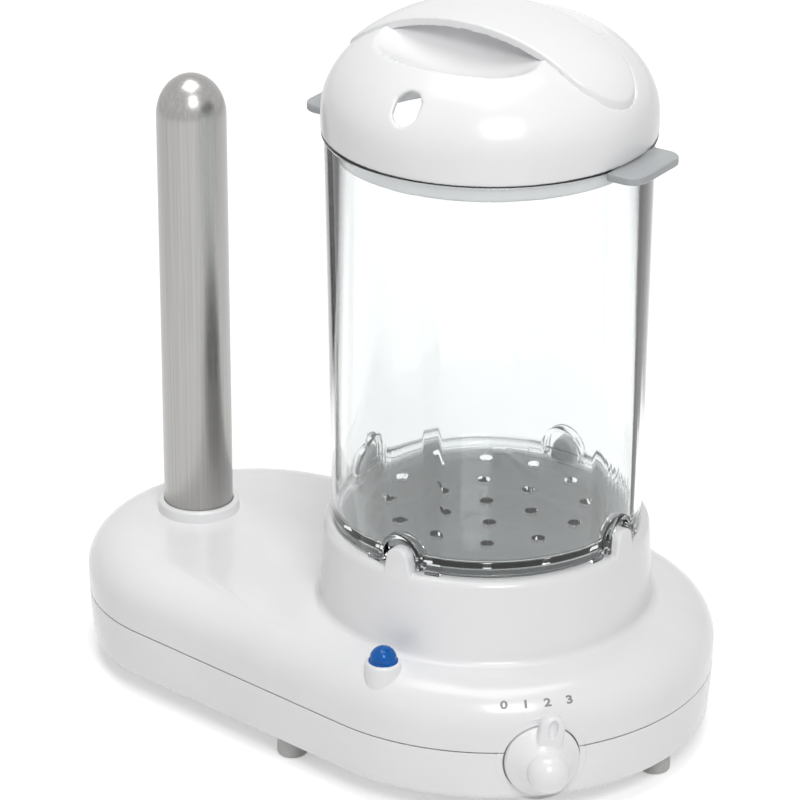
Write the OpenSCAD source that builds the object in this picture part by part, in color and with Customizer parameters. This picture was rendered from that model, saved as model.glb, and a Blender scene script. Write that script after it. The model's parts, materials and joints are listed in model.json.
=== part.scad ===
// Hot dog maker: a steam jar for sausages and a heated spike for the roll on one egg-shaped base.
// X runs along the base with the jar at +X, the front is -Y, and Z = 0 is the table.

/* [Base] */
// Radius of the jar end at its widest level
base_big_r = 82.5; // [76:0.5:90]
// Slope of the sides in plan, which sets the radius of the spike end
side_slope = 9.7; // [7:0.1:13]
// Distance between the centres of the two round ends
base_axis_gap = 110; // [100:1:120]
// Distance of the jar axis from the centre of the jar end
jar_offset = 3.5; // [0:0.5:6]
// Wall of the housing shells
base_wall = 2.5; // [2:0.1:3.2]
// Height of the underside above the table
foot_h = 9; // [6:0.5:14]
// Height of the underside to the seam between the shells
lower_h = 20; // [17:0.5:24]
// Height of the seam to the widest level
widest_h = 8.5; // [5:0.5:12]
// Height of the widest level to the spike plateau
crown_h = 15.5; // [12:0.5:19]
// Depth of the soft hollow between the pedestal and the spike plateau
hollow_depth = 1.5; // [0.5:0.25:2]
// Width of the rolled top edge
edge_roll = 18; // [14:0.5:20]
// Inset of the seam from the widest level
seam_inset = 0.25; // [0.1:0.05:0.6]
// Inset of the underside from the widest level
bottom_inset = 1.5; // [1:0.25:3]
// Rounding of the lower edge
bottom_round = 3; // [2:0.25:4]
// Width of the soft hollow
hollow_w = 32; // [24:0.5:36]

/* [Feet and shell screws] */
// Radius of a foot
foot_r = 5.8; // [4:0.1:7]
// Distance of the feet from the edge of the underside
foot_inset = 10; // [9:0.5:14]
// Distance of the front and back feet from the jar end, along the side
foot_back = 36; // [20:1:50]
// Radius of a screw boss
boss_r = 4.5; // [4:0.1:6]
// Radius of a screw shank
screw_r = 1.5; // [1.2:0.05:1.8]
// Radius of a screw head
screw_head_r = 3; // [2.6:0.1:3.4]
// Angle of the jar-end screws round the jar end
screw_jar_angle = 70; // [64:1:76]
// Angle of the spike-end screws round the small end
screw_spike_angle = 130; // [120:1:140]

/* [Pedestal] */
// Radius of the pedestal at its rim
ped_r = 60.5; // [59.5:0.25:64]
// Height of the rim above the plateau
ped_h = 32; // [27:0.5:37]
// Growth of the radius from the rim to the foot
ped_draft = 1.5; // [0.5:0.25:3]
// Fillet at the foot of the pedestal
ped_fillet = 3; // [1.5:0.25:4]
// Rounding of the rim
ped_round = 3; // [1.5:0.25:3.2]
// Width of a locating post at its foot
post_w = 12.5; // [11:0.25:14]
// Width of a locating post at its top
post_top_w = 9.5; // [8:0.25:10.5]
// Height of a post above the rim
post_h = 9; // [8:0.25:12]
// Thickness of a post
post_t = 5.2; // [4.5:0.1:5.6]

/* [Heating dish] */
// Outside radius of the dish wall
dish_r = 46.5; // [42:0.25:47.5]
// Depth of the dish below its flange
dish_depth = 13; // [9:0.5:16]
// Sheet of the dish
dish_sheet = 1.2; // [1:0.1:1.6]
// Thickness of the seal ring under the flange
gasket_t = 0.8; // [0.6:0.1:1.2]
// Radius of the spreader under the dish
spreader_r = 40; // [36:0.5:41]
// Thickness of the spreader
spreader_t = 3; // [2:0.25:4]
// Radius of the element's ring
element_ring_r = 29; // [24:0.5:32]
// Radius of the element's sheath
element_r = 3.5; // [3:0.1:4]
// Radius of the thermostat
thermostat_r = 8.5; // [7:0.25:10]
// Height of the thermostat
thermostat_h = 10; // [8:0.5:14]

/* [Jar] */
// Outside radius of the jar at its floor
jar_r = 57.2; // [56.8:0.1:58]
// Growth of the radius from the floor to the rim
jar_flare = 2.2; // [1:0.1:3]
// Height of the jar from its floor to its rim
jar_h = 146; // [120:1:170]
// Wall of the jar
jar_wall = 2.2; // [1.8:0.1:2.6]
// Thickness of the jar's floor
jar_floor = 2; // [1.5:0.1:3]
// Height of the skirt below the floor's top
jar_skirt = 4.6; // [4.2:0.1:7]
// Height of the pads under the skirt
pad_h = 1.2; // [0.8:0.1:2]
// Reach of a grip lug past the lid
lug_reach = 11; // [8:0.5:20]
// Width of a grip lug
lug_w = 32; // [26:0.5:38]
// Thickness of the rim flange and the lugs
lug_t = 3; // [2.4:0.1:4]
// Radius of a steam hole in the floor
steam_r = 2.5; // [1.5:0.1:3]

/* [Lid] */
// Radius of the lid
lid_r = 60.6; // [60:0.1:62]
// Height of the upright skirt
lid_skirt = 7; // [5:0.5:10]
// Height of the dome above the skirt
dome_h = 38; // [34:0.5:42]
// Wall of the lid
lid_wall = 2.2; // [1.8:0.1:2.6]
// Depth of the spigot in the jar
spigot_h = 7; // [5:0.5:10]
// Width of the handle band
band_w = 33; // [28:0.5:36]
// Length of the handle band
band_l = 114; // [108:0.5:116]
// Height of the band above the dome
band_proud = 1; // [0.6:0.1:1.5]
// Depth of the band's seat below the dome
band_depth = 2; // [1.5:0.1:2.5]
// Distance of a finger scoop's axis from the middle plane
scoop_y = 25; // [20:0.5:27]
// Height of a scoop's axis above the dome's top
scoop_z = 7; // [5:0.5:9]
// Radius of a scoop at its middle
scoop_r = 24; // [18:0.25:25]
// Half length of a scoop
scoop_l = 57; // [42:0.5:60]
// Width of the steam vent
vent_w = 9.5; // [7:0.25:11]
// Length of the steam vent
vent_l = 13; // [11:0.25:15]
// Height of the vent above the dome's foot
vent_z = 17; // [14:0.5:20]

/* [Spike] */
// Distance of the spike from the spike end of the base
spike_inset = 38; // [34:0.5:44]
// Radius of the spike tube
spike_r = 13.25; // [12:0.25:14.5]
// Wall of the spike tube
spike_wall = 1; // [0.8:0.1:1.4]
// Height of the tube above the plateau
spike_h = 178; // [150:1:200]
// Height of the rounded tip
tip_h = 16; // [12:0.5:20]
// Height of the collar above the plateau
collar_h = 4.5; // [3.5:0.25:8]
// Ring width of the collar
collar_w = 2.3; // [1.8:0.1:3]
// Radius of the heater rod
rod_r = 5; // [4:0.1:6]
// Length of the heater rod
rod_l = 160; // [130:1:164]

/* [Selector] */
// Angle of the knob round the jar end
knob_angle = -45; // [-50:1:-38]
// Height of the knob's axis above the underside
knob_z = 16.5; // [15:0.5:18]
// Radius of the knob's disc
knob_r = 13.3; // [12:0.1:14]
// Thickness of the knob's disc
knob_disc_t = 4; // [3.5:0.1:5]
// Radius of the knob's round nose
nose_r = 7.6; // [6.5:0.1:8.5]
// Distance of the nose's centre from the back of the disc
nose_reach = 11.8; // [10:0.1:14]
// Reach of the pointer from the knob's axis
pointer_reach = 20; // [18:0.25:22]
// Width of the pointer
pointer_w = 9.5; // [7:0.25:11]
// Turn of the pointer from upright at rest
pointer_turn = 10; // [6:1:14]
// Radius of the switch shaft
shaft_r = 3; // [2.5:0.1:3.5]
// Side of the switch body
switch_w = 20; // [16:0.5:22]
// Depth of the switch body
switch_d = 18; // [14:0.5:22]

/* [Lamp] */
// Distance of the lamp from the edge of the jar end
lamp_inset = 10; // [9:0.5:12]
// Angle of the lamp round the jar axis
lamp_angle = -88; // [-92:0.5:-84]
// Radius of the lamp's lens
lens_r = 4.9; // [4:0.1:5.5]
// Radius of the boss under the lens
lamp_boss_r = 6.7; // [6.2:0.1:7.5]
// Height of the boss under the lens
lamp_boss_h = 3.5; // [2.5:0.1:5]

/* [Inlet] */
// Radius of the cable passage in the gland
gland_bore_r = 3.6; // [3:0.1:4]
// Radius of the gland's flange
gland_flange_r = 8; // [7:0.1:9]

/* [Hidden] */
$fn = 96;

// Clearances
fit = 0.1;
running = 0.05;
screw_clear = 0.2;
head_clear = 0.3;
cut = 1;

// Levels
under_z = foot_h;
floor_z = under_z + base_wall;
seam_z = under_z + lower_h;
widest_z = seam_z + widest_h;
plateau_z = widest_z + crown_h;
rim_z = plateau_z + ped_h;
jar_skirt_z = rim_z + pad_h;
jar_floor_z = jar_skirt_z + jar_skirt;
jar_rim_z = jar_floor_z + jar_h;
dome_z = jar_rim_z + lid_skirt;
dome_top_z = dome_z + dome_h;

// Plan of the base
base_small_r = base_big_r - base_axis_gap * sin(side_slope);
big_x = (base_axis_gap + base_small_r - base_big_r) / 2;
jar_x = big_x - jar_offset;
small_x = big_x - base_axis_gap;
spike_x = small_x - base_small_r + spike_inset;
arc_steps = 8;
rim_lap = 3;
side_lap = 0.5;
side_out = 0.04;
side_run = base_axis_gap * cos(side_slope);
rim_in_r = base_big_r - edge_roll - 2 * rim_lap;
corner_left = 0.2;
floor_step = 0.3;
reach = 400;

// Pedestal and dish
ped_foot_r = ped_r + ped_draft;
hollow_in_r = ped_foot_r + ped_fillet;
hollow_lift = 0.1;
post_inset = 0.3;
post_in_r = ped_r - post_inset - post_t;
ledge_drop = 2;
ledge_z = rim_z - ledge_drop;
ledge_inset = 0.5;
ledge_r = post_in_r - ledge_inset;
flange_gap = 0.3;
flange_r = ledge_r - flange_gap;
flange_z = ledge_z + gasket_t;
flange_t = 1;
opening_gap = 0.6;
opening_r = dish_r + opening_gap;
dish_low_z = flange_z - dish_depth;
stud_ring_r = (opening_r + flange_r) / 2;
stud_count = 4;
stud_past = 1.5;
clamp_t = 2;
clamp_z = ledge_z - base_wall - clamp_t;
nut_t = 2.4;
nut_r = 3;
spreader_z = dish_low_z - spreader_t;
element_z = spreader_z - element_r - fit;
element_arc = 300;
element_end_l = 14;
element_end_step = 0.5;
element_end_turn = 8;
tab_t = 0.8;
tab_w = 6;
tab_h = 7;
fuse_r = 2;
fuse_l = 14;
fuse_y = 15;

// Jar
jar_in_r = jar_r - jar_wall;
jar_top_r = jar_r + jar_flare;
jar_top_in_r = jar_top_r - jar_wall;
rim_inset = 0.2;
jar_flange_r = lid_r - rim_inset;
pocket_gap = 1;
pocket_wall = 1.8;
pocket_back = 0.6;
pocket_head = 3;
pocket_in_r = post_in_r - pocket_back;
pocket_r = post_w / 2 + pocket_gap;
pocket_arc_z = rim_z + post_h + pocket_head - pocket_r;
pad_w = 6;
pad_sink = 0.5;
steam_rows = 2;
steam_first = 6;
lug_corner = 6.5;
lug_root = 1;

// Lid
spigot_gap = 0.6;
spigot_r = jar_top_in_r - spigot_gap;
scoop_arc = (scoop_l * scoop_l + scoop_r * scoop_r) / (2 * scoop_r);
peg_edge = 14.6;
peg_x = lid_r - peg_edge;
peg_r = 3;
peg_l = 11.2;
peg_hole_l = 7;
peg_screw_l = 5;
peg_head_w = 2;
peg_z = dome_z + dome_h * sqrt(1 - pow(peg_x / lid_r, 2)) - peg_l;
vent_r = lid_r * sqrt(1 - pow(vent_z / dome_h, 2));
vent_tilt = atan2(vent_z / pow(dome_h, 2), vent_r / pow(lid_r, 2));

// Spike
spike_in_r = spike_r - spike_wall;
tube_flange_w = 5;
tube_flange_r = spike_r + tube_flange_w;
tube_flange_t = 1.5;
tube_low_z = plateau_z - base_wall - tube_flange_t;
collar_r = spike_r + fit + collar_w;
collar_step = 1;
collar_neck_r = collar_r - collar_step;
bracket_t = 2;
bracket_z = tube_low_z - bracket_t;
bracket_gap = 3;
bracket_screw_x = tube_flange_r + bracket_gap;
bracket_screw_y = 14;
bracket_back = 10;
bracket_hole_w = 2;
bracket_screw_gap = 0.5;
bracket_end = 1;
heater_base_h = 6;
rod_low = 5;
lead_r = 0.8;
lead_l = 8;
spacer_t = 3;
spacer_shares = [0.45, 0.9];

// Selector, measured outwards along the knob's axis from the centre of the jar end
wall_r = base_big_r - seam_inset;
knob_axis_z = under_z + knob_z;
pocket_side = 1;
cup_depth = 5;
cup_floor = wall_r - cup_depth;
cup_back = cup_floor - base_wall;
cup_r = knob_r + pocket_side + base_wall;
switch_nut_t = 2;
switch_nut_w = 2.5;
knob_gap = 0.7;
knob_back = cup_floor + switch_nut_t + knob_gap;
bush_w = 1.5;
bush_r = shaft_r + bush_w;
shaft_grip = 8;
shaft_end_gap = 0.5;
pointer_gap = 0.7;
pointer_in = base_big_r + pointer_gap;
pointer_t = 5;

// Lamp, inlet and terminals
lamp_reach = base_big_r - lamp_inset;
lamp_x = jar_x + lamp_reach * cos(lamp_angle);
lamp_y = lamp_reach * sin(lamp_angle);
lamp_big_r = norm([lamp_x - big_x, lamp_y]);
lamp_z = roll_z(lamp_big_r);
lamp_root_z = roll_z(lamp_big_r + lamp_boss_r);
lens_step = 0.9;
lens_stem_r = lens_r - lens_step;
lens_past = 5;
lens_stem_l = lamp_boss_h + base_wall + lens_past;
lens_wall = 1;
lamp_r = lens_stem_r - lens_wall;
lens_edge_h = 1.2;
lens_dome_h = 4.6;
lamp_past = 6;
gland_z = under_z + lower_h / 2;
gland_step = 1.6;
gland_neck_r = gland_flange_r - gland_step;
gland_flange_t = 1.5;
gland_face = base_big_r - gland_flange_t;
gland_l = 14;
block_l = 36;
block_w = 14;
block_h = 12;
block_x = small_x + block_l / 4;
block_y = base_small_r / 2;
terminal_count = 3;

// Screws of the shells
screw_short = 2;
screw_len = lower_h - screw_short;
screw_head_h = 2.5;
slot_l = 4;
slot_w = 0.8;
slot_d = 1;
screw_jar_inset = 14;
screw_jar_r = base_big_r - bottom_inset - screw_jar_inset;
screw_spike_inset = 11;
screw_spike_r = base_small_r - bottom_inset - screw_spike_inset;
shell_screws = concat(
    [for (s = [-1, 1]) [big_x + screw_jar_r * cos(screw_jar_angle), s * screw_jar_r * sin(screw_jar_angle)]],
    [for (s = [-1, 1])
        [small_x + screw_spike_r * cos(screw_spike_angle), s * screw_spike_r * sin(screw_spike_angle)]]);

// Feet: one at each end and one at each side
foot_jar_r = base_big_r - bottom_inset - foot_inset;
foot_small_r = base_small_r - bottom_inset - foot_inset;
foot_peg_r = 2.5;
foot_peg_cap = 1.5;
foot_peg_lip = 0.8;
foot_chamfer = 0.8;
feet = concat(
    [[big_x + foot_jar_r, 0], [small_x - foot_small_r, 0]],
    [for (s = [-1, 1])
        [big_x - foot_jar_r * sin(side_slope) - foot_back * cos(side_slope),
            s * (foot_jar_r * cos(side_slope) - foot_back * sin(side_slope))]]);

// Height of the rolled edge at a radius of the jar end
function roll_z(r) = widest_z + crown_h * sqrt(1 - pow(max(r - base_big_r + edge_roll, 0) / edge_roll, 2));

// Sweeps a rim profile round the egg-shaped plan; the profile is drawn for the jar end, and the
// straight sides lap the round ends a little
module egg_sweep() {
    step_in = base_small_r - base_big_r;
    translate([big_x, 0, 0]) rotate([0, 0, -90 - side_slope])
        rotate_extrude(angle = 180 + 2 * side_slope) children();
    translate([small_x, 0, 0]) rotate([0, 0, 90 + side_slope])
        rotate_extrude(angle = 180 - 2 * side_slope) translate([step_in, 0]) children();
    translate([big_x, 0, 0]) rotate([0, 0, -side_slope]) rotate([90, 0, -90])
        translate([side_out, 0, -side_lap]) linear_extrude(side_run + 2 * side_lap) children();
    translate([small_x, 0, 0]) rotate([0, 0, side_slope]) rotate([90, 0, 90])
        translate([step_in + side_out, 0, -side_lap]) linear_extrude(side_run + 2 * side_lap) children();
}

// Fills the egg-shaped plan inside the rim between two levels
module egg_middle(low, high) {
    jar_end = rim_in_r + rim_lap;
    spike_end = jar_end + base_small_r - base_big_r;
    translate([0, 0, low]) linear_extrude(high - low) {
        translate([big_x, 0]) circle(r = jar_end);
        translate([small_x, 0]) circle(r = spike_end);
        polygon(concat(
            [for (s = [-1, 1]) let (r = jar_end - rim_lap / 2)
                [big_x - r * sin(side_slope), s * r * cos(side_slope)]],
            [for (s = [1, -1]) let (r = spike_end - rim_lap / 2)
                [small_x - r * sin(side_slope), s * r * cos(side_slope)]]));
    }
}

// Side profile of the upper shell's rim, moved inwards by drop and started at low
module upper_profile(drop, low) {
    side = base_big_r - seam_inset - drop;
    polygon(concat(
        [[rim_in_r, low], [side, low], [side, seam_z]],
        [for (i = [0:arc_steps]) let (a = 90 * i / arc_steps)
            [base_big_r - edge_roll + (edge_roll - drop) * cos(a), widest_z + (crown_h - drop) * sin(a)]],
        [[rim_in_r, plateau_z - drop]]));
}

// Side of the lower shell from its foot past the seam, moved inwards by drop
function lower_side(drop) = let (
        foot_in = base_big_r - bottom_inset - drop,
        seam_in = base_big_r - seam_inset - drop,
        round_r = max(bottom_round - drop, corner_left))
    concat(
        [for (i = [0:arc_steps]) let (a = 90 * i / arc_steps)
            [foot_in - round_r * (1 - sin(a)), under_z + drop + round_r * (1 - cos(a))]],
        [[seam_in, seam_z], [seam_in, seam_z + cut]]);

function reversed(points) = [for (i = [len(points) - 1:-1:0]) points[i]];

// Soft hollow between the pedestal and the spike plateau
module soft_hollow(drop) {
    top = plateau_z + hollow_lift;
    translate([jar_x, 0, -drop]) rotate_extrude() polygon(concat(
        [for (i = [0:2 * arc_steps]) let (t = i / (2 * arc_steps))
            [hollow_in_r + hollow_w * t, top - (hollow_depth + hollow_lift) * pow(sin(180 * t), 2)]],
        [[hollow_in_r + hollow_w, top + cut], [hollow_in_r, top + cut]]));
}

module upper_form(drop, low) {
    difference() {
        union() {
            egg_sweep() upper_profile(drop, low);
            egg_middle(low, plateau_z - drop);
        }
        soft_hollow(drop);
    }
}

// Turns and moves a piece onto the knob's axis: local Z runs outwards, local -X is up
module on_knob_axis() {
    translate([big_x, 0, knob_axis_z]) rotate([0, 0, knob_angle]) rotate([0, 90, 0]) children();
}

// Round cup that lets the knob's disc into the wall
module knob_cup() {
    on_knob_axis() translate([0, 0, cup_back]) cylinder(r = cup_r, h = base_big_r - cup_back);
}

module knob_cup_space() {
    on_knob_axis() {
        translate([0, 0, cup_floor]) cylinder(r = knob_r + pocket_side, h = base_big_r);
        translate([0, 0, cup_back - cut]) cylinder(r = bush_r + fit, h = base_wall + 2 * cut);
    }
}

module at_shell_screws() {
    for (p = shell_screws) translate([p.x, p.y, 0]) children();
}

module at_bracket_screws() {
    for (s = [-1, 1]) translate([spike_x + bracket_screw_x, s * bracket_screw_y, 0]) children();
}

module at_studs() {
    for (i = [0:stud_count - 1]) translate([jar_x, 0, 0]) rotate([0, 0, 45 + 360 / stud_count * i])
        translate([stud_ring_r, 0, 0]) children();
}

module lower_housing() {
    color("gainsboro") difference() {
        union() {
            egg_sweep() polygon(concat([[rim_in_r, under_z]], lower_side(0), reversed(lower_side(base_wall)),
                [[rim_in_r, floor_z]]));
            egg_middle(under_z + floor_step, floor_z - floor_step);
            intersection() {
                translate([big_x, 0, 0]) rotate_extrude()
                    polygon(concat([[0, under_z + base_wall / 2]], lower_side(base_wall / 2),
                        [[0, seam_z + cut]]));
                knob_cup();
            }
            at_shell_screws() translate([0, 0, under_z]) cylinder(r = boss_r, h = lower_h + cut);
            translate([big_x, gland_face, gland_z]) rotate([90, 0, 0])
                cylinder(r = gland_flange_r, h = gland_face - (base_big_r - bottom_inset - base_wall));
        }
        translate([-reach / 2, -reach / 2, seam_z]) cube(reach);
        knob_cup_space();
        at_shell_screws() {
            translate([0, 0, under_z - cut]) cylinder(r = screw_r + screw_clear, h = lower_h + 2 * cut);
            translate([0, 0, under_z - cut]) cylinder(r = screw_head_r + head_clear, h = lower_h / 2 + cut);
        }
        translate([big_x, gland_face + cut, gland_z]) rotate([90, 0, 0])
            cylinder(r = gland_neck_r + fit, h = base_big_r / 2);
        translate([big_x, base_big_r + cut, gland_z]) rotate([90, 0, 0])
            cylinder(r = gland_flange_r + fit, h = base_big_r + cut - gland_face);
        for (p = feet) translate([p.x, p.y, under_z - cut])
            cylinder(r = foot_peg_r + fit, h = base_wall + 2 * cut);
    }
}

// Wall, rim and dish ledge of the pedestal
module pedestal_ring() {
    wall_top_r = ped_r - base_wall;
    translate([jar_x, 0, 0]) rotate_extrude() polygon(concat(
        [[ped_foot_r + ped_fillet, plateau_z - base_wall]],
        [for (i = [0:arc_steps]) let (a = 90 * i / arc_steps)
            [ped_foot_r + ped_fillet * (1 - sin(a)), plateau_z + ped_fillet * (1 - cos(a))]],
        [for (i = [0:arc_steps]) let (a = 90 * i / arc_steps)
            [ped_r - ped_round * (1 - cos(a)), rim_z - ped_round * (1 - sin(a))]],
        [[ledge_r, rim_z], [ledge_r, ledge_z], [opening_r, ledge_z], [opening_r, ledge_z - base_wall],
            [wall_top_r, ledge_z - base_wall], [ped_foot_r - base_wall, plateau_z - base_wall]]));
}

// Front view of a locating post with a round top
module post_profile() {
    top_r = post_top_w / 2;
    translate([0, rim_z + post_h - top_r]) circle(r = top_r);
    polygon([[-post_w / 2, rim_z - ped_round - cut], [post_w / 2, rim_z - ped_round - cut],
        [top_r, rim_z + post_h - top_r], [-top_r, rim_z + post_h - top_r]]);
}

module four_round_jar() {
    for (a = [0:90:270]) translate([jar_x, 0, 0]) rotate([0, 0, a]) children();
}

// Stands a front view up, facing outwards, from one radius to the next
module facing_out(from_r, to_r) {
    rotate([90, 0, 90]) translate([0, 0, from_r]) linear_extrude(to_r - from_r) children();
}

module upper_housing() {
    color("white") difference() {
        union() {
            difference() {
                upper_form(0, seam_z);
                upper_form(base_wall, seam_z - cut);
                translate([jar_x, 0, plateau_z])
                    cylinder(r = ped_foot_r - base_wall, h = 4 * base_wall, center = true);
            }
            intersection() {
                upper_form(0, seam_z);
                union() {
                    knob_cup();
                    at_shell_screws() translate([0, 0, seam_z]) cylinder(r = boss_r, h = reach);
                    at_bracket_screws() translate([0, 0, tube_low_z]) cylinder(r = boss_r, h = reach);
                }
            }
            pedestal_ring();
            four_round_jar() facing_out(post_in_r, post_in_r + post_t) post_profile();
            translate([lamp_x, lamp_y, lamp_root_z - base_wall])
                cylinder(r = lamp_boss_r, h = lamp_z + lamp_boss_h - lamp_root_z + base_wall);
        }
        knob_cup_space();
        at_shell_screws() translate([0, 0, seam_z - cut])
            cylinder(r = screw_r + running, h = screw_len / 2 + cut);
        at_bracket_screws() translate([0, 0, tube_low_z - cut])
            cylinder(r = screw_r + running, h = base_wall + cut);
        translate([lamp_x, lamp_y, lamp_z - 2 * lens_stem_l])
            cylinder(r = lens_stem_r + fit, h = 4 * lens_stem_l);
        translate([spike_x, 0, plateau_z - 2 * base_wall]) cylinder(r = collar_neck_r + fit, h = 4 * base_wall);
        at_studs() translate([0, 0, ledge_z - 2 * base_wall])
            cylinder(r = screw_r + screw_clear, h = 4 * base_wall);
    }
}

module rubber_feet() {
    color("lightgray") for (p = feet) translate([p.x, p.y, 0]) {
        rotate_extrude() polygon([[0, 0], [foot_r - foot_chamfer, 0], [foot_r, foot_chamfer], [foot_r, under_z],
            [0, under_z]]);
        cylinder(r = foot_peg_r, h = floor_z);
        translate([0, 0, floor_z]) cylinder(r = foot_peg_r + foot_peg_lip, h = foot_peg_cap);
    }
}

module housing_screws() {
    head_z = under_z + lower_h / 2;
    color("silver") at_shell_screws() {
        translate([0, 0, head_z - screw_head_h]) difference() {
            cylinder(r = screw_head_r, h = screw_head_h);
            for (a = [0, 90]) rotate([0, 0, a]) cube([slot_l, slot_w, 2 * slot_d], center = true);
        }
        translate([0, 0, head_z - cut]) cylinder(r = screw_r, h = screw_len + cut);
    }
}

module heating_dish() {
    corner = 4;
    wall_in = dish_r - dish_sheet;
    color("darkslategray") translate([jar_x, 0, 0]) rotate_extrude() polygon(concat(
        [[0, dish_low_z]],
        [for (i = [0:arc_steps]) let (a = 90 * i / arc_steps)
            [dish_r - corner * (1 - sin(a)), dish_low_z + corner * (1 - cos(a))]],
        [[dish_r, flange_z], [flange_r, flange_z], [flange_r, flange_z + flange_t],
            [wall_in, flange_z + flange_t]],
        [for (i = [0:arc_steps]) let (a = 90 * (1 - i / arc_steps))
            [wall_in - (corner - dish_sheet) * (1 - sin(a)),
                dish_low_z + dish_sheet + (corner - dish_sheet) * (1 - cos(a))]],
        [[0, dish_low_z + dish_sheet]]));
}

module ring(out_r, in_r, h) {
    difference() {
        cylinder(r = out_r, h = h);
        translate([0, 0, -cut]) cylinder(r = in_r, h = h + 2 * cut);
    }
}

module dish_gasket() {
    color("orangered") difference() {
        translate([jar_x, 0, ledge_z]) ring(flange_r, opening_r, gasket_t);
        at_studs() translate([0, 0, ledge_z - cut]) cylinder(r = screw_r + fit, h = gasket_t + 2 * cut);
    }
}

module dish_clamp() {
    color("silver") difference() {
        translate([jar_x, 0, clamp_z]) ring(flange_r, opening_r, clamp_t);
        at_studs() translate([0, 0, clamp_z - cut]) cylinder(r = screw_r + screw_clear, h = clamp_t + 2 * cut);
    }
}

module dish_studs() {
    stud_low = clamp_z - nut_t - stud_past;
    color("silver") at_studs() translate([0, 0, stud_low]) cylinder(r = screw_r, h = flange_z - stud_low);
}

module dish_nuts() {
    color("silver") at_studs() translate([0, 0, clamp_z - nut_t]) difference() {
        cylinder(r = nut_r, h = nut_t, $fn = 6);
        translate([0, 0, -cut]) cylinder(r = screw_r + running, h = nut_t + 2 * cut);
    }
}

module heat_spreader() {
    color("silver") translate([jar_x, 0, spreader_z]) cylinder(r = spreader_r, h = spreader_t);
}

// Sheathed ring below the spreader with two thinner ends turned down
module heating_element() {
    end_r = element_r - element_end_step;
    color("dimgray") translate([jar_x, 0, element_z]) {
        rotate([0, 0, 90 + (360 - element_arc) / 2]) rotate_extrude(angle = element_arc)
            translate([element_ring_r, 0]) circle(r = element_r);
        for (s = [-1, 1]) rotate([0, 0, 90 + s * ((360 - element_arc) / 2 + element_end_turn)])
            translate([element_ring_r, 0, -element_end_l]) cylinder(r = end_r, h = element_end_l);
    }
}

module thermostat() {
    color("black") translate([jar_x, 0, spreader_z - thermostat_h])
        cylinder(r = thermostat_r, h = thermostat_h);
    color("silver") for (s = [-1, 1])
        translate([jar_x + s * thermostat_r / 2 - tab_t / 2, -tab_w / 2, spreader_z - thermostat_h - tab_h])
            cube([tab_t, tab_w, tab_h]);
}

// Fuse in a flat clip below the spreader
module thermal_fuse() {
    clip_t = 1;
    color("tan") translate([jar_x - fuse_l / 2, -fuse_y, spreader_z - clip_t - fuse_r]) {
        rotate([0, 90, 0]) cylinder(r = fuse_r, h = fuse_l);
        translate([0, -fuse_r, 0]) cube([fuse_l, 2 * fuse_r, fuse_r + clip_t]);
    }
}

// Outline of the tube with its rounded tip, moved inwards by drop
module spike_outline(drop, low) {
    r = spike_r - drop;
    tip_z = plateau_z + spike_h - tip_h;
    polygon(concat([[0, low], [r, low]],
        [for (i = [0:arc_steps]) let (a = 90 * i / arc_steps) [r * cos(a), tip_z + (tip_h - drop) * sin(a)]]));
}

module spike_tube() {
    color("silver") translate([spike_x, 0, 0]) rotate_extrude() difference() {
        union() {
            spike_outline(0, tube_low_z);
            translate([0, tube_low_z]) square([tube_flange_r, tube_flange_t]);
        }
        spike_outline(spike_wall, tube_low_z - cut);
    }
}

module spike_collar() {
    top_round = 1;
    bore_r = spike_r + fit;
    color("white") translate([spike_x, 0, 0]) rotate_extrude() polygon(concat(
        [[bore_r, plateau_z - base_wall], [collar_neck_r, plateau_z - base_wall], [collar_neck_r, plateau_z],
            [collar_r, plateau_z]],
        [for (i = [0:arc_steps]) let (a = 90 * i / arc_steps)
            [collar_r - top_round * (1 - cos(a)), plateau_z + collar_h - top_round * (1 - sin(a))]],
        [[bore_r, plateau_z + collar_h]]));
}

module spike_heater() {
    color("dimgray") translate([spike_x, 0, tube_low_z - rod_low]) {
        cylinder(r = rod_r, h = rod_l);
        for (s = [-1, 1]) translate([s * rod_r / 2, 0, -lead_l]) cylinder(r = lead_r, h = lead_l + cut);
    }
}

module heater_base() {
    color("ivory") translate([spike_x, 0, tube_low_z]) ring(spike_in_r - fit, rod_r + running, heater_base_h);
}

module heater_spacers() {
    color("ivory") for (share = spacer_shares) translate([spike_x, 0, tube_low_z + rod_l * share])
        ring(spike_in_r - fit, rod_r + running, spacer_t);
}

module spike_bracket() {
    half_w = bracket_screw_y + boss_r + bracket_end;
    front = bracket_screw_x + boss_r + bracket_end;
    color("silver") difference() {
        translate([spike_x - bracket_back, -half_w, bracket_z])
            cube([bracket_back + front, 2 * half_w, bracket_t]);
        translate([spike_x, 0, bracket_z - cut]) cylinder(r = rod_r + bracket_hole_w, h = bracket_t + 2 * cut);
        at_bracket_screws() translate([0, 0, bracket_z - cut])
            cylinder(r = screw_r + screw_clear, h = bracket_t + 2 * cut);
    }
}

module spike_screws() {
    color("silver") at_bracket_screws() translate([0, 0, bracket_z]) {
        translate([0, 0, -screw_head_h]) cylinder(r = screw_head_r, h = screw_head_h);
        translate([0, 0, -cut]) cylinder(r = screw_r, h = bracket_t + base_wall - bracket_screw_gap + cut);
    }
}

module lamp_lens() {
    boss_top = lamp_z + lamp_boss_h;
    color("royalblue") translate([lamp_x, lamp_y, 0]) rotate_extrude() polygon(concat(
        [[lamp_r, boss_top - lens_stem_l], [lens_stem_r, boss_top - lens_stem_l], [lens_stem_r, boss_top],
            [lens_r, boss_top]],
        [for (i = [0:arc_steps]) let (a = 90 * i / arc_steps)
            [lens_r * cos(a), boss_top + lens_edge_h + lens_dome_h * sin(a)]],
        [[0, boss_top], [lamp_r, boss_top]]));
}

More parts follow.
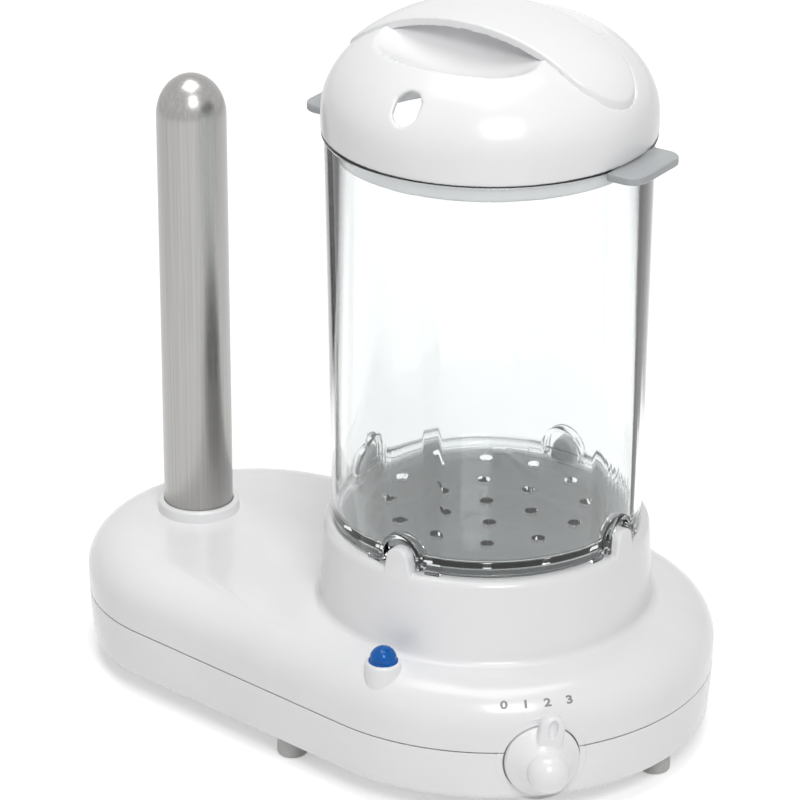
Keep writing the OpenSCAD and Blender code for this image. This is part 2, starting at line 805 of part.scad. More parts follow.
module indicator_lamp() {
    boss_top = lamp_z + lamp_boss_h;
    lamp_l = lens_stem_l + lamp_past;
    color("orange") translate([lamp_x, lamp_y, boss_top - lamp_l])
        cylinder(r = lamp_r - running, h = lamp_l);
}

module switch_body() {
    bush_l = base_wall + switch_nut_t;
    color("dimgray") on_knob_axis() difference() {
        union() {
            translate([-switch_w / 2, -switch_w / 2, cup_back - switch_d]) cube([switch_w, switch_w, switch_d]);
            translate([0, 0, cup_back - cut]) cylinder(r = bush_r, h = bush_l + cut);
        }
        translate([0, 0, cup_back - switch_d / 2]) cylinder(r = shaft_r + running, h = switch_d);
    }
}

module switch_nut() {
    color("silver") on_knob_axis() translate([0, 0, cup_floor]) difference() {
        cylinder(r = bush_r + switch_nut_w, h = switch_nut_t, $fn = 6);
        translate([0, 0, -cut]) cylinder(r = bush_r + running, h = switch_nut_t + 2 * cut);
    }
}

module switch_shaft() {
    start = cup_back - switch_d / 2 + shaft_end_gap;
    color("silver") on_knob_axis() translate([0, 0, start])
        cylinder(r = shaft_r, h = knob_back + shaft_grip - start);
}

// Disc, cone and round nose with a raised pointer that reaches past the disc
module selector_knob() {
    nose_z = knob_back + nose_reach;
    cone_z = knob_back + knob_disc_t;
    tip_r = pointer_w / 2;
    color("whitesmoke") on_knob_axis() rotate([0, 0, -pointer_turn]) difference() {
        union() {
            translate([0, 0, knob_back]) cylinder(r = knob_r, h = knob_disc_t);
            translate([0, 0, cone_z]) cylinder(r1 = knob_r, r2 = nose_r, h = nose_z - cone_z);
            translate([0, 0, nose_z]) sphere(r = nose_r);
            translate([0, 0, pointer_in]) linear_extrude(pointer_t) {
                translate([tip_r - pointer_reach, 0]) circle(r = tip_r);
                translate([tip_r - pointer_reach, -tip_r]) square([pointer_reach - tip_r, pointer_w]);
            }
        }
        translate([0, 0, knob_back - cut]) cylinder(r = shaft_r + fit, h = shaft_grip + cut);
    }
}

module cord_gland() {
    color("dimgray") translate([big_x, gland_face, gland_z]) rotate([90, 0, 0]) difference() {
        union() {
            translate([0, 0, -gland_flange_t]) cylinder(r = gland_flange_r, h = gland_flange_t);
            cylinder(r = gland_neck_r, h = gland_l);
        }
        translate([0, 0, -gland_flange_t - cut])
            cylinder(r = gland_bore_r, h = gland_l + gland_flange_t + 2 * cut);
    }
}

module terminal_block() {
    color("ivory") translate([block_x - block_l / 2, block_y - block_w / 2, floor_z]) difference() {
        cube([block_l, block_w, block_h]);
        for (i = [1:terminal_count]) translate([block_l * (i - 0.5) / terminal_count, block_w / 2, block_h / 2])
            cylinder(r = screw_head_r + fit, h = block_h);
    }
}

module terminal_screws() {
    pitch = block_l / terminal_count;
    color("goldenrod") for (i = [1:terminal_count])
        translate([block_x - block_l / 2 + pitch * (i - 0.5), block_y, floor_z + block_h / 2])
            cylinder(r = screw_head_r, h = block_h / 3);
}

// Front view of the arch over a post, grown by more and started at low
module pocket_profile(more, low) {
    half = pocket_r + more;
    intersection() {
        translate([0, pocket_arc_z]) circle(r = half);
        translate([-half, low]) square([2 * half, reach]);
    }
    translate([-half, low]) square([2 * half, pocket_arc_z - low]);
}

module jar() {
    flange_low = jar_rim_z - lug_t;
    floor_low = jar_floor_z - jar_floor;
    lug_start = jar_top_r - lug_root;
    lug_end = lid_r + lug_reach;
    color([0.8, 0.9, 0.92, 0.35]) difference() {
        union() {
            translate([jar_x, 0, 0]) rotate_extrude() polygon([[0, floor_low], [jar_in_r, floor_low],
                [jar_in_r, jar_skirt_z], [jar_r, jar_skirt_z], [jar_top_r, flange_low],
                [jar_flange_r, flange_low], [jar_flange_r, jar_rim_z], [jar_top_in_r, jar_rim_z],
                [jar_in_r, jar_floor_z], [0, jar_floor_z]]);
            four_round_jar() facing_out(pocket_in_r - pocket_wall, jar_in_r + jar_wall / 2)
                pocket_profile(pocket_wall, jar_skirt_z);
            four_round_jar() for (s = [-1, 1]) translate([jar_in_r, s * (pocket_r + pocket_wall + pad_w / 2)
                - pad_w / 2, rim_z]) cube([jar_wall / 2, pad_w, pad_h + pad_sink]);
            for (side = [0, 180]) translate([jar_x, 0, flange_low]) rotate([0, 0, side]) linear_extrude(lug_t) {
                translate([lug_start, -lug_w / 2]) square([lug_end - lug_corner - lug_start, lug_w]);
                translate([lug_start, lug_corner - lug_w / 2])
                    square([lug_end - lug_start, lug_w - 2 * lug_corner]);
                for (s = [-1, 1]) translate([lug_end - lug_corner, s * (lug_w / 2 - lug_corner)])
                    circle(r = lug_corner);
            }
        }
        four_round_jar() facing_out(pocket_in_r, jar_r + 2 * jar_wall) pocket_profile(0, jar_skirt_z - cut);
        translate([jar_x, 0, floor_low - cut]) {
            cylinder(r = steam_r, h = jar_floor + 2 * cut);
            for (row = [1:steam_rows], i = [1:steam_first * row]) rotate([0, 0, 360 / (steam_first * row) * i])
                translate([jar_in_r / (steam_rows + 1) * row, 0, 0])
                    cylinder(r = steam_r, h = jar_floor + 2 * cut);
        }
    }
}

// Dome over the upright skirt, moved outwards by more
module dome_form(more, low) {
    translate([jar_x, 0, 0]) rotate_extrude() polygon(concat(
        [[0, low], [lid_r + more, low]],
        [for (i = [0:2 * arc_steps]) let (a = 45 * i / arc_steps)
            [(lid_r + more) * cos(a), dome_z + (dome_h + more) * sin(a)]]));
}

// Long hollow for the fingers beside the handle band, grown by more
module finger_scoops(more) {
    for (s = [-1, 1]) translate([jar_x, s * scoop_y, dome_top_z + scoop_z]) rotate([0, 90, 0]) rotate_extrude()
        intersection() {
            translate([scoop_r - scoop_arc, 0]) circle(r = scoop_arc + more);
            translate([0, -reach]) square([reach, 2 * reach]);
        }
}

// Plan of the handle band, grown by more and raised through the dome
module band_column(more) {
    half = band_w / 2 + more;
    straight = band_l - band_w;
    translate([jar_x, 0, dome_z]) linear_extrude(dome_h + 2 * lid_skirt) {
        translate([-straight / 2, -half]) square([straight, 2 * half]);
        for (s = [-1, 1]) translate([s * straight / 2, 0]) circle(r = half);
    }
}

module at_pegs() {
    for (s = [-1, 1]) translate([jar_x + s * peg_x, 0, peg_z]) children();
}

module lid_shell() {
    seat = -band_depth - fit;
    color("white") difference() {
        union() {
            difference() {
                dome_form(0, jar_rim_z);
                difference() {
                    dome_form(-lid_wall, jar_rim_z - cut);
                    finger_scoops(lid_wall);
                    difference() {
                        band_column(lid_wall);
                        dome_form(seat - lid_wall, jar_rim_z - cut);
                    }
                }
            }
            translate([jar_x, 0, jar_rim_z - spigot_h])
                ring(spigot_r, spigot_r - lid_wall, spigot_h + lid_wall / 2);
            translate([jar_x, 0, jar_rim_z]) ring(lid_r - lid_wall / 2, spigot_r - lid_wall, lid_wall);
            intersection() {
                at_pegs() cylinder(r = peg_r + peg_head_w, h = 2 * peg_l);
                dome_form(seat - lid_wall / 2, jar_rim_z);
            }
        }
        finger_scoops(0);
        difference() {
            band_column(fit);
            dome_form(seat, jar_rim_z - cut);
        }
        at_pegs() translate([0, 0, -cut]) cylinder(r = peg_r + fit, h = 2 * peg_l);
        translate([jar_x, -vent_r, dome_z + vent_z]) rotate([90 - vent_tilt, 0, 0])
            linear_extrude(4 * lid_wall, center = true) {
                for (s = [-1, 1]) translate([0, s * (vent_l - vent_w) / 2]) circle(r = vent_w / 2);
                square([vent_w, vent_l - vent_w], center = true);
            }
    }
}

module lid_handle() {
    color("white") difference() {
        union() {
            intersection() {
                difference() {
                    dome_form(band_proud, jar_rim_z);
                    dome_form(-band_depth, jar_rim_z - cut);
                }
                band_column(0);
            }
            intersection() {
                at_pegs() cylinder(r = peg_r, h = 2 * peg_l);
                dome_form(0, jar_rim_z);
            }
        }
        at_pegs() translate([0, 0, -cut]) cylinder(r = screw_r + running, h = peg_hole_l + cut);
    }
}

module handle_screws() {
    color("silver") at_pegs() {
        translate([0, 0, -screw_head_h]) cylinder(r = peg_r + peg_head_w, h = screw_head_h);
        translate([0, 0, -cut]) cylinder(r = screw_r, h = peg_screw_l + cut);
    }
}

lower_housing();
upper_housing();
rubber_feet();
housing_screws();
heating_dish();
dish_gasket();
dish_clamp();
dish_studs();
dish_nuts();
heat_spreader();
heating_element();
thermostat();
thermal_fuse();
spike_tube();
spike_collar();
spike_heater();
heater_base();
heater_spacers();
spike_bracket();
spike_screws();
lamp_lens();
indicator_lamp();
switch_body();
switch_nut();
switch_shaft();
selector_knob();
cord_gland();
terminal_block();
terminal_screws();
jar();
lid_shell();
lid_handle();
handle_screws();
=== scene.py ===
"""Table-top hot dog maker: moulded shells, clear jar, lid, spike, selector and lamp, one step per piece."""
import json
import math

import bpy
from mathutils import Matrix, Vector


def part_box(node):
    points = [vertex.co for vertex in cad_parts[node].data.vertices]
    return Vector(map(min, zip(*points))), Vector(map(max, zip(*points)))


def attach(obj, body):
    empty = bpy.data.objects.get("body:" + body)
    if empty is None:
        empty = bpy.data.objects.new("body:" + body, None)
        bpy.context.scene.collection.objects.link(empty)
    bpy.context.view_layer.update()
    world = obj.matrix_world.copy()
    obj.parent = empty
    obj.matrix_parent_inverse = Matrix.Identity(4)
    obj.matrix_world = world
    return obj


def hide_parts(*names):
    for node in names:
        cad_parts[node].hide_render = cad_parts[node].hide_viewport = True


bl_info = {
    "name": "Hot dog maker",
    "version": (1, 0, 0),
    "blender": (4, 5, 0),
    "location": "3D View > Sidebar > Hot dog maker",
    "description": "Models the shells, jar, lid, spike, selector and lamp of a table-top hot dog maker",
    "category": "Object",
}

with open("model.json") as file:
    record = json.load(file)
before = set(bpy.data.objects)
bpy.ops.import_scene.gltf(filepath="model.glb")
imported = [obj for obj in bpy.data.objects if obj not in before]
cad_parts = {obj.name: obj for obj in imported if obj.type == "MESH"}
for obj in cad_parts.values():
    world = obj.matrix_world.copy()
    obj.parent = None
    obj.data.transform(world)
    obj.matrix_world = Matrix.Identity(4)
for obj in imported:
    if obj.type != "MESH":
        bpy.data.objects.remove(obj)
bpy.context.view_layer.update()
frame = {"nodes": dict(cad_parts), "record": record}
MM = 0.001
FULL_TURN = 2 * math.pi
QUARTER = math.pi / 2
FLAT = 0.99  # a face counts as flat when its normal is this upright
BIG_R, SMALL_R = 82.5, 63.966  # millimetres, the base's outline at the jar end and at the spike end
CAMERA_FROM_JAR = Vector((0.812, -1.2744, 0.7941))  # metres, from the jar's axis at table level


def node_middle(node):
    """Middle of a node's box."""
    low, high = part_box(node)
    return (low + high) / 2


def linear(code):
    """Linear colour with full alpha from an sRGB hex code."""
    parts = [int(code[i:i + 2], 16) / 255 for i in (1, 3, 5)]
    return tuple(p / 12.92 if p <= 0.04045 else ((p + 0.055) / 1.055) ** 2.4 for p in parts) + (1.0,)


def plain(name, words, value, **kind):
    """A number in a property group."""
    return bpy.props.FloatProperty(name=name, description=words, default=value, **kind)


def size(name, words, mm):
    """A length in a property group, given in millimetres."""
    return plain(name, words, mm * MM, unit="LENGTH", precision=4)


def turn(name, words, degrees):
    """An angle in a property group, given in degrees."""
    return plain(name, words, math.radians(degrees), subtype="ANGLE", unit="ROTATION")


def paint(name, words, code):
    """A colour in a property group, given as a hex code."""
    return bpy.props.FloatVectorProperty(name=name, description=words, default=linear(code), size=4,
                                         subtype="COLOR", min=0.0, max=1.0)


class BaseSizes(bpy.types.PropertyGroup):
    """Sizes of the two base shells and the feet."""
    big_r: size("Jar end radius", "Radius of the base's outline at the jar end", BIG_R)
    small_r: size("Spike end radius", "Radius of the base's outline at the spike end", SMALL_R)
    under_z: size("Underside height", "Height of the base's underside over the table", 9)
    seam_z: size("Seam height", "Height of the seam between the shells", 29)
    seam_gap: size("Seam gap", "Open gap of the seam", 0.3)
    seam_round: size("Seam rounding", "Rounding of both shells' edges at the seam", 0.45)
    seam_inset: size("Seam inset", "How far the side draws in from its widest line to the seam", 0.25)
    widest_z: size("Widest height", "Height of the widest line of the upper shell", 37.5)
    top_z: size("Top height", "Height of the flat top round the pedestal", 53)
    edge_roll: size("Edge roll", "Width of the rounded turn from the side to the top", 18)
    bottom_inset: size("Bottom inset", "How far the side draws in to the underside", 1.5)
    bottom_round: size("Bottom rounding", "Rounding of the lower edge", 3)
    wall: size("Wall", "Wall of both shells", 2.4)
    hollow_in: size("Hollow start", "Radius about the jar where the shallow hollow starts", 65)
    hollow_out: size("Hollow end", "Radius about the jar where the shallow hollow ends", 97)
    hollow_depth: size("Hollow depth", "Depth of the shallow hollow round the pedestal", 1.5)
    ped_r: size("Pedestal radius", "Radius of the pedestal at its rim", 60.5)
    ped_foot_r: size("Pedestal foot radius", "Radius of the pedestal above its fillet", 62)
    ped_fillet: size("Pedestal fillet", "Fillet at the pedestal's foot", 3)
    ped_round: size("Pedestal rounding", "Rounding of the pedestal's rim", 3)
    rim_z: size("Rim height", "Height of the pedestal's rim", 85)
    ledge_r: size("Ledge radius", "Radius of the step that holds the dish", 54.5)
    ledge_drop: size("Ledge drop", "Depth of that step under the rim", 2)
    opening_r: size("Opening radius", "Radius of the opening under the dish", 47.1)
    post_w: size("Post width", "Width of a locating post at its foot", 12.5)
    post_top_w: size("Post top width", "Width of a locating post at its round top", 9.5)
    post_top: size("Post top", "Height of a post over the rim", 9)
    post_in_r: size("Post back", "Radius of a post's back face about the jar", 55)
    post_out_r: size("Post front", "Radius of a post's front face about the jar", 60.2)
    boss_r: size("Lamp boss radius", "Radius of the boss that holds the lamp", 6.7)
    spike_hole: size("Spike hole", "Radius of the hole for the spike's collar", 14.75)
    screw_bore: size("Screw bore", "Radius of a sunk screw hole in the underside", 3.4)
    foot_r: size("Foot radius", "Radius of a foot", 5.8)


class KnobSizes(bpy.types.PropertyGroup):
    """Sizes of the selector and its recess."""
    place: turn("Place", "Angle of the selector's axis round the jar end", -45)
    axis_z: size("Axis height", "Height of the selector's axis", 25.5)
    recess_r: size("Recess radius", "Radius of the round recess", 14.3)
    recess_floor: size("Recess floor", "Distance of the recess floor from the jar end's centre", 77.25)
    recess_lip: size("Recess lip", "Rounding of the recess's lip", 1.5)
    back: size("Knob back", "Distance of the knob's back from the jar end's centre", 79.95)
    disc_r: size("Disc radius", "Radius of the knob's disc", 13.8)
    disc_t: size("Disc thickness", "Thickness of the knob's disc", 4)
    nose_at: size("Nose place", "Distance of the nose's middle from the jar end's centre", 91.75)
    nose_r: size("Nose radius", "Radius of the knob's round nose", 7.6)
    pointer_in: size("Pointer back", "Distance of the pointer's back from the jar end's centre", 83.2)
    pointer_t: size("Pointer thickness", "Thickness of the raised pointer", 5)
    pointer_reach: size("Pointer reach", "Reach of the pointer from the knob's axis", 20)
    pointer_w: size("Pointer width", "Width of the pointer", 9.5)
    pointer_turn: turn("Pointer turn", "Turn of the pointer from upright", 10)


class JarSizes(bpy.types.PropertyGroup):
    """Sizes of the clear jar."""
    skirt_z: size("Skirt height", "Height of the skirt's lower edge", 86.2)
    floor_z: size("Floor height", "Height of the floor's upper face", 90.8)
    rim_z: size("Mouth height", "Height of the mouth", 236.8)
    low_r: size("Lower radius", "Radius at the skirt", 57.2)
    top_r: size("Upper radius", "Radius under the mouth's flange", 59.4)
    flange_r: size("Flange radius", "Radius of the mouth's flange", 60.4)
    wall: size("Wall", "Wall of the jar", 2.2)
    floor_t: size("Floor", "Thickness of the floor", 2)
    bead_t: size("Bead thickness", "Thickness of the bead round the mouth", 1.4)
    lug_t: size("Lug thickness", "Thickness of the grip lugs", 3)
    lug_w: size("Lug width", "Width of a grip lug", 32)
    lug_end: size("Lug reach", "Reach of a grip lug from the jar's axis", 71.6)
    lug_corner: size("Lug corner", "Corner radius of a grip lug", 6.5)
    notch_r: size("Notch radius", "Half width of a notch over a post", 7.25)
    notch_top: size("Notch top", "Height of a notch's arch", 97)
    notch_in: size("Notch back", "Radius of a notch's back wall", 54.4)
    notch_wall: size("Notch wall", "Wall round a notch", 1.8)
    hood_out: size("Hood front", "Radius of the rounded rim round a notch", 58.5)
    steam_r: size("Steam hole", "Radius of a steam hole in the floor", 2.5)
    pad_w: size("Pad width", "Width of a foot pad beside a notch", 6)


class LidSizes(bpy.types.PropertyGroup):
    """Sizes of the domed lid and its handle band."""
    rim_z: size("Rim height", "Height of the lid's lower edge", 236.8)
    dome_z: size("Dome start", "Height at which the dome starts", 243.8)
    dome_h: size("Dome height", "Height of the dome", 38)
    lid_r: size("Radius", "Radius of the lid", 60.6)
    wall: size("Wall", "Wall of the lid", 2.2)
    spigot_r: size("Spigot radius", "Radius of the ring that sits in the jar's mouth", 56.6)
    spigot_h: size("Spigot depth", "Depth of that ring", 7)
    band_w: size("Band width", "Width of the handle band", 33)
    band_l: size("Band length", "Length of the handle band", 114)
    band_proud: size("Band height", "How far the band stands over the dome", 1)
    band_depth: size("Band depth", "How far the band sits in the dome", 2)
    scoop_y: size("Scoop place", "Distance of a finger hollow's axis from the middle", 25)
    scoop_up: size("Scoop height", "Height of a finger hollow's axis over the dome's top", 7)
    scoop_r: size("Scoop radius", "Radius of a finger hollow", 24)
    scoop_l: size("Scoop half length", "Half length of a finger hollow", 57)
    vent_w: size("Vent width", "Width of the oval steam vent", 9.5)
    vent_l: size("Vent length", "Length of the oval steam vent", 13)
    vent_up: size("Vent height", "Height of the vent over the dome's start", 17)


class SpikeSizes(bpy.types.PropertyGroup):
    """Sizes of the heated spike and its collar."""
    tube_r: size("Tube radius", "Radius of the spike's tube", 13.25)
    wall: size("Tube wall", "Wall of the tube", 1)
    tip_h: size("Tip height", "Height of the rounded tip", 16)
    collar_r: size("Collar radius", "Radius of the collar", 15.65)
    collar_h: size("Collar height", "Height of the collar over the base", 4.5)


class LampSizes(bpy.types.PropertyGroup):
    """Sizes of the pilot lamp's lens."""
    lens_r: size("Lens radius", "Radius of the lens", 4.9)
    lens_h: size("Lens height", "Height of the lens over its boss", 5.8)
    edge_h: size("Lens edge", "Height of the lens's straight edge", 1.2)


class FinishColours(bpy.types.PropertyGroup):
    """Colours of the finishes."""
    white: paint("White", "Moulded white of the shells, knob, lid and handle", "#f0f0f1")
    clear: paint("Clear", "Clear plastic of the jar", "#fafcfc")
    frosted: paint("Frosted", "Matt grip lugs of the jar", "#c2c5c7")
    stainless: paint("Stainless", "Drawn tube of the spike", "#a9a8a6")
    coat: paint("Coat", "Coat of the water dish", "#1f3335")
    rubber: paint("Rubber", "Feet", "#c6c6c4")
    lens: paint("Lens", "Blue of the lamp's lens", "#0366be")
    print_grey: paint("Print", "Grey of the numbers on the dial", "#8c8c8c")


class StageSettings(bpy.types.PropertyGroup):
    """Camera, floor and light."""
    lens: plain("Lens", "Focal length of the camera", 202.5, unit="CAMERA")
    heading: turn("Heading", "Turn of the camera round the object", 33.72)
    pitch: turn("Pitch", "How far the camera looks down", 23.71)
    floor: paint("Floor", "Colour of the floor", "#f4f4f4")
    floor_lift: plain("Floor lift", "Glow that makes the floor white to the eye", 0.4)
    fill: plain("Fill", "Strength of the even light from all round", 0.22)
    top_watts: plain("Top light", "Power of the wide light overhead", 28.0, unit="POWER")
    key_watts: plain("Key light", "Power of the light at the front right", 17.0, unit="POWER")


GROUPS = {"maker_base": BaseSizes, "maker_knob": KnobSizes, "maker_jar": JarSizes, "maker_lid": LidSizes,
          "maker_spike": SpikeSizes, "maker_lamp": LampSizes, "maker_finish": FinishColours,
          "maker_stage": StageSettings}

# Where the jar, the spike, the lamp and the two ends of the base stand.
JAR_AT = Vector((node_middle("heating_dish").x, 0, 0))
SPIKE_AT = Vector((node_middle("spike_tube").x, 0, 0))
LAMP_AT = Vector((node_middle("lamp_lens").x, node_middle("lamp_lens").y, 0))
BIG_AT = Vector((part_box("upper_housing")[1].x - BIG_R * MM, 0, 0))
SMALL_AT = Vector((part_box("upper_housing")[0].x + SMALL_R * MM, 0, 0))
# Stands a slab up, facing away from the jar, and the four places round the jar.
UPRIGHT = Matrix.Rotation(QUARTER, 4, "Z") @ Matrix.Rotation(QUARTER, 4, "X")
ROUND_JAR = [Matrix.Translation(JAR_AT) @ Matrix.Rotation(i * QUARTER, 4, "Z") @ Matrix.Translation(-JAR_AT)
             for i in range(4)]


# Drawing and shaping.

def clear_selection():
    """Nothing is selected, in object mode."""
    if bpy.context.mode != "OBJECT":
        bpy.ops.object.mode_set(mode="OBJECT")
    bpy.ops.object.select_all(action="DESELECT")


def make_active(piece):
    """Only this piece is selected."""
    clear_selection()
    piece.select_set(True)
    bpy.context.view_layer.objects.active = piece


def draw_line(name, points):
    """A new piece in edit mode that is one line through the points."""
    clear_selection()
    bpy.ops.mesh.primitive_plane_add(size=MM)
    piece = bpy.context.object
    piece.name = name
    piece.data.name = name
    bpy.ops.object.mode_set(mode="EDIT")
    bpy.ops.mesh.select_all(action="SELECT")
    bpy.ops.mesh.merge(type="CENTER")
    bpy.ops.transform.translate(value=points[0])
    for here, there in zip(points, points[1:]):
        bpy.ops.mesh.extrude_region_move(TRANSFORM_OT_translate={"value": there - here})
    return piece


def close_up():
    """Joins the mesh's meeting points, turns its faces outwards and leaves edit mode."""
    bpy.ops.mesh.select_all(action="SELECT")
    bpy.ops.mesh.remove_doubles(threshold=0.0005 * MM)
    bpy.ops.mesh.delete_loose(use_verts=True, use_edges=True, use_faces=False)
    bpy.ops.mesh.select_all(action="SELECT")
    bpy.ops.mesh.normals_make_consistent(inside=False)
    bpy.ops.object.mode_set(mode="OBJECT")


def turned(name, outline, at, steps=128):
    """A round piece turned about an upright axis from (radius, height) points."""
    piece = draw_line(name, [Vector((at.x + r, at.y, z)) for r, z in outline])
    bpy.ops.mesh.select_all(action="SELECT")
    bpy.ops.mesh.spin(steps=steps, angle=-FULL_TURN, center=at, axis=(0, 0, 1))
    close_up()
    return piece


def rod(name, r, low, high, at, steps):
    """A plain round form that cuts a hole."""
    return turned(name, [(0, low), (r, low), (r, high), (0, high)], at, steps)


def slab(name, outline, depth):
    """A solid from a flat outline in the XY plane, drawn up along Z."""
    piece = draw_line(name, [Vector((x, y, 0)) for x, y in outline])
    bpy.ops.mesh.select_all(action="SELECT")
    bpy.ops.mesh.edge_face_add()
    bpy.ops.mesh.extrude_region_move(TRANSFORM_OT_translate={"value": (0, 0, depth)})
    close_up()
    return piece


def round_the_base(name, outline, base):
    """A closed solid run round the base's egg outline from (radius at the jar end, height) points."""
    gap = BIG_AT.x - SMALL_AT.x
    slope = math.asin((base.big_r - base.small_r) / gap)
    start = -QUARTER - slope
    out = Vector((math.cos(start), math.sin(start), 0))
    piece = draw_line(name, [BIG_AT + out * r + Vector((0, 0, z)) for r, z in outline])
    bpy.ops.mesh.select_all(action="SELECT")
    bpy.ops.mesh.spin(steps=110, angle=-(math.pi + 2 * slope), center=BIG_AT, axis=(0, 0, 1))
    back = Vector((math.cos(-start), math.sin(-start), 0)) * (base.small_r - base.big_r) + SMALL_AT - BIG_AT
    runs = 24
    for _ in range(runs):
        bpy.ops.mesh.extrude_region_move(TRANSFORM_OT_translate={"value": back / runs})
    bpy.ops.mesh.spin(steps=80, angle=-(math.pi - 2 * slope), center=SMALL_AT, axis=(0, 0, 1))
    front = out * (base.big_r - base.small_r) + BIG_AT - SMALL_AT
    for _ in range(runs):
        bpy.ops.mesh.extrude_region_move(TRANSFORM_OT_translate={"value": front / runs})
    bpy.ops.mesh.select_all(action="SELECT")
    bpy.ops.mesh.remove_doubles(threshold=0.002 * MM)
    bpy.ops.mesh.fill_holes(sides=0)
    close_up()
    return piece


def arc(middle, reach, start, end, steps):
    """(radius, height) points on an arc, angles in degrees from the outward direction."""
    rx, rz = reach if isinstance(reach, tuple) else (reach, reach)
    angles = [math.radians(start + (end - start) * i / steps) for i in range(steps + 1)]
    return [(middle[0] + rx * math.cos(a), middle[1] + rz * math.sin(a)) for a in angles]


def placed(piece, matrix):
    """Puts a piece in its place and takes the place into its mesh."""
    make_active(piece)
    piece.matrix_world = matrix
    bpy.ops.object.transform_apply(location=True, rotation=True, scale=True)
    return piece


def twin(piece, matrix):
    """A copy with its own mesh, moved by a matrix."""
    make_active(piece)
    bpy.ops.object.duplicate()
    return placed(bpy.context.object, matrix)


def shaped(piece, kind, **settings):
    """Adds a modifier and applies it."""
    make_active(piece)
    modifier = piece.modifiers.new(kind.title(), kind)
    for key, value in settings.items():
        setattr(modifier, key, value)
    bpy.ops.object.modifier_apply(modifier=modifier.name)
    return piece


def rounded(piece, mm, segments, degrees=50):
    """Rounds the edges that are sharper than an angle."""
    return shaped(piece, "BEVEL", width=mm * MM, segments=segments, limit_method="ANGLE",
                  angle_limit=math.radians(degrees))


def combined(piece, tool, operation):
    """Joins a tool to a piece, cuts it out or keeps what both hold."""
    shaped(piece, "BOOLEAN", object=tool, operation=operation, solver="EXACT")
    bpy.data.objects.remove(tool)
    return piece


def picked(piece, kind, test):
    """Selects what passes a test and stays in edit mode.

    A face is tested by its middle and its normal, an edge by each of its ends.
    """
    make_active(piece)
    bpy.ops.object.mode_set(mode="EDIT")
    bpy.ops.mesh.select_mode(type=kind)
    bpy.ops.mesh.select_all(action="DESELECT")
    bpy.ops.object.mode_set(mode="OBJECT")
    points = piece.data.vertices
    if kind == "FACE":
        for face in piece.data.polygons:
            face.select = test(face.center, face.normal)
    else:
        for edge in piece.data.edges:
            edge.select = all(test(points[i].co) for i in edge.vertices)
    bpy.ops.object.mode_set(mode="EDIT")


def edited():
    """Goes back to picking points and leaves edit mode."""
    bpy.ops.mesh.select_mode(type="VERT")
    bpy.ops.object.mode_set(mode="OBJECT")


def without_faces(piece, test):
    """Deletes the faces that pass the test."""
    picked(piece, "FACE", test)
    bpy.ops.mesh.delete(type="FACE")
    edited()


def smooth(piece, degrees=32):
    """Smooth shading with sharp edges kept."""
    make_active(piece)
    bpy.ops.object.shade_smooth_by_angle(angle=math.radians(degrees))
    return piece


def softened(piece, grain, passes):
    """Rounds every edge a little, as a mould does: an even fine mesh that is then relaxed."""
    shaped(piece, "REMESH", mode="VOXEL", voxel_size=grain, adaptivity=0.0)
    shaped(piece, "SMOOTH", factor=0.5, iterations=passes)
    make_active(piece)
    bpy.ops.object.shade_smooth()
    return piece


def knob_axis(knob):
    """The turn and place that lay an upright form on the selector's axis."""
    return (Matrix.Translation(BIG_AT + Vector((0, 0, knob.axis_z))) @ Matrix.Rotation(knob.place, 4, "Z")
            @ Matrix.Rotation(QUARTER, 4, "Y"))


def settled(piece, body, finish, slot, *nodes):
    """Gives a finished piece its material and its place in the frame."""
    piece.data.materials.clear()
    piece.data.materials.append(finish)
    clear_selection()
    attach(piece, body)
    if nodes:
        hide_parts(*nodes)
    return piece


# Finishes.

def add(tree, kind, sockets=None, stops=(), **settings):
    """Adds a node with its settings, its colour stops, and values or links on its sockets."""
    node = tree.nodes.new(kind)
    for key, value in settings.items():
        setattr(node, key, value)
    for key, value in (sockets or {}).items():
        if isinstance(value, bpy.types.NodeSocket):
            tree.links.new(value, node.inputs[key])
        else:
            node.inputs[key].default_value = value
    for i, (place, colour) in enumerate(stops):
        node.color_ramp.elements[i].position = place
        node.color_ramp.elements[i].color = colour
    return node


def new_finish(name):
    """A material with an empty tree, its output and the object's coordinates."""
    finish = bpy.data.materials.get(name)
    if finish:
        bpy.data.materials.remove(finish)
    finish = bpy.data.materials.new(name)
    finish.use_nodes = True
    tree = finish.node_tree
    tree.nodes.clear()
    out = add(tree, "ShaderNodeOutputMaterial")
    where = add(tree, "ShaderNodeTexCoord").outputs["Object"]
    return finish, tree, out, where


def tint(colour, share):
    """A colour made lighter or darker by a share."""
    return tuple(min(c * share, 1.0) for c in colour[:3]) + (1.0,)


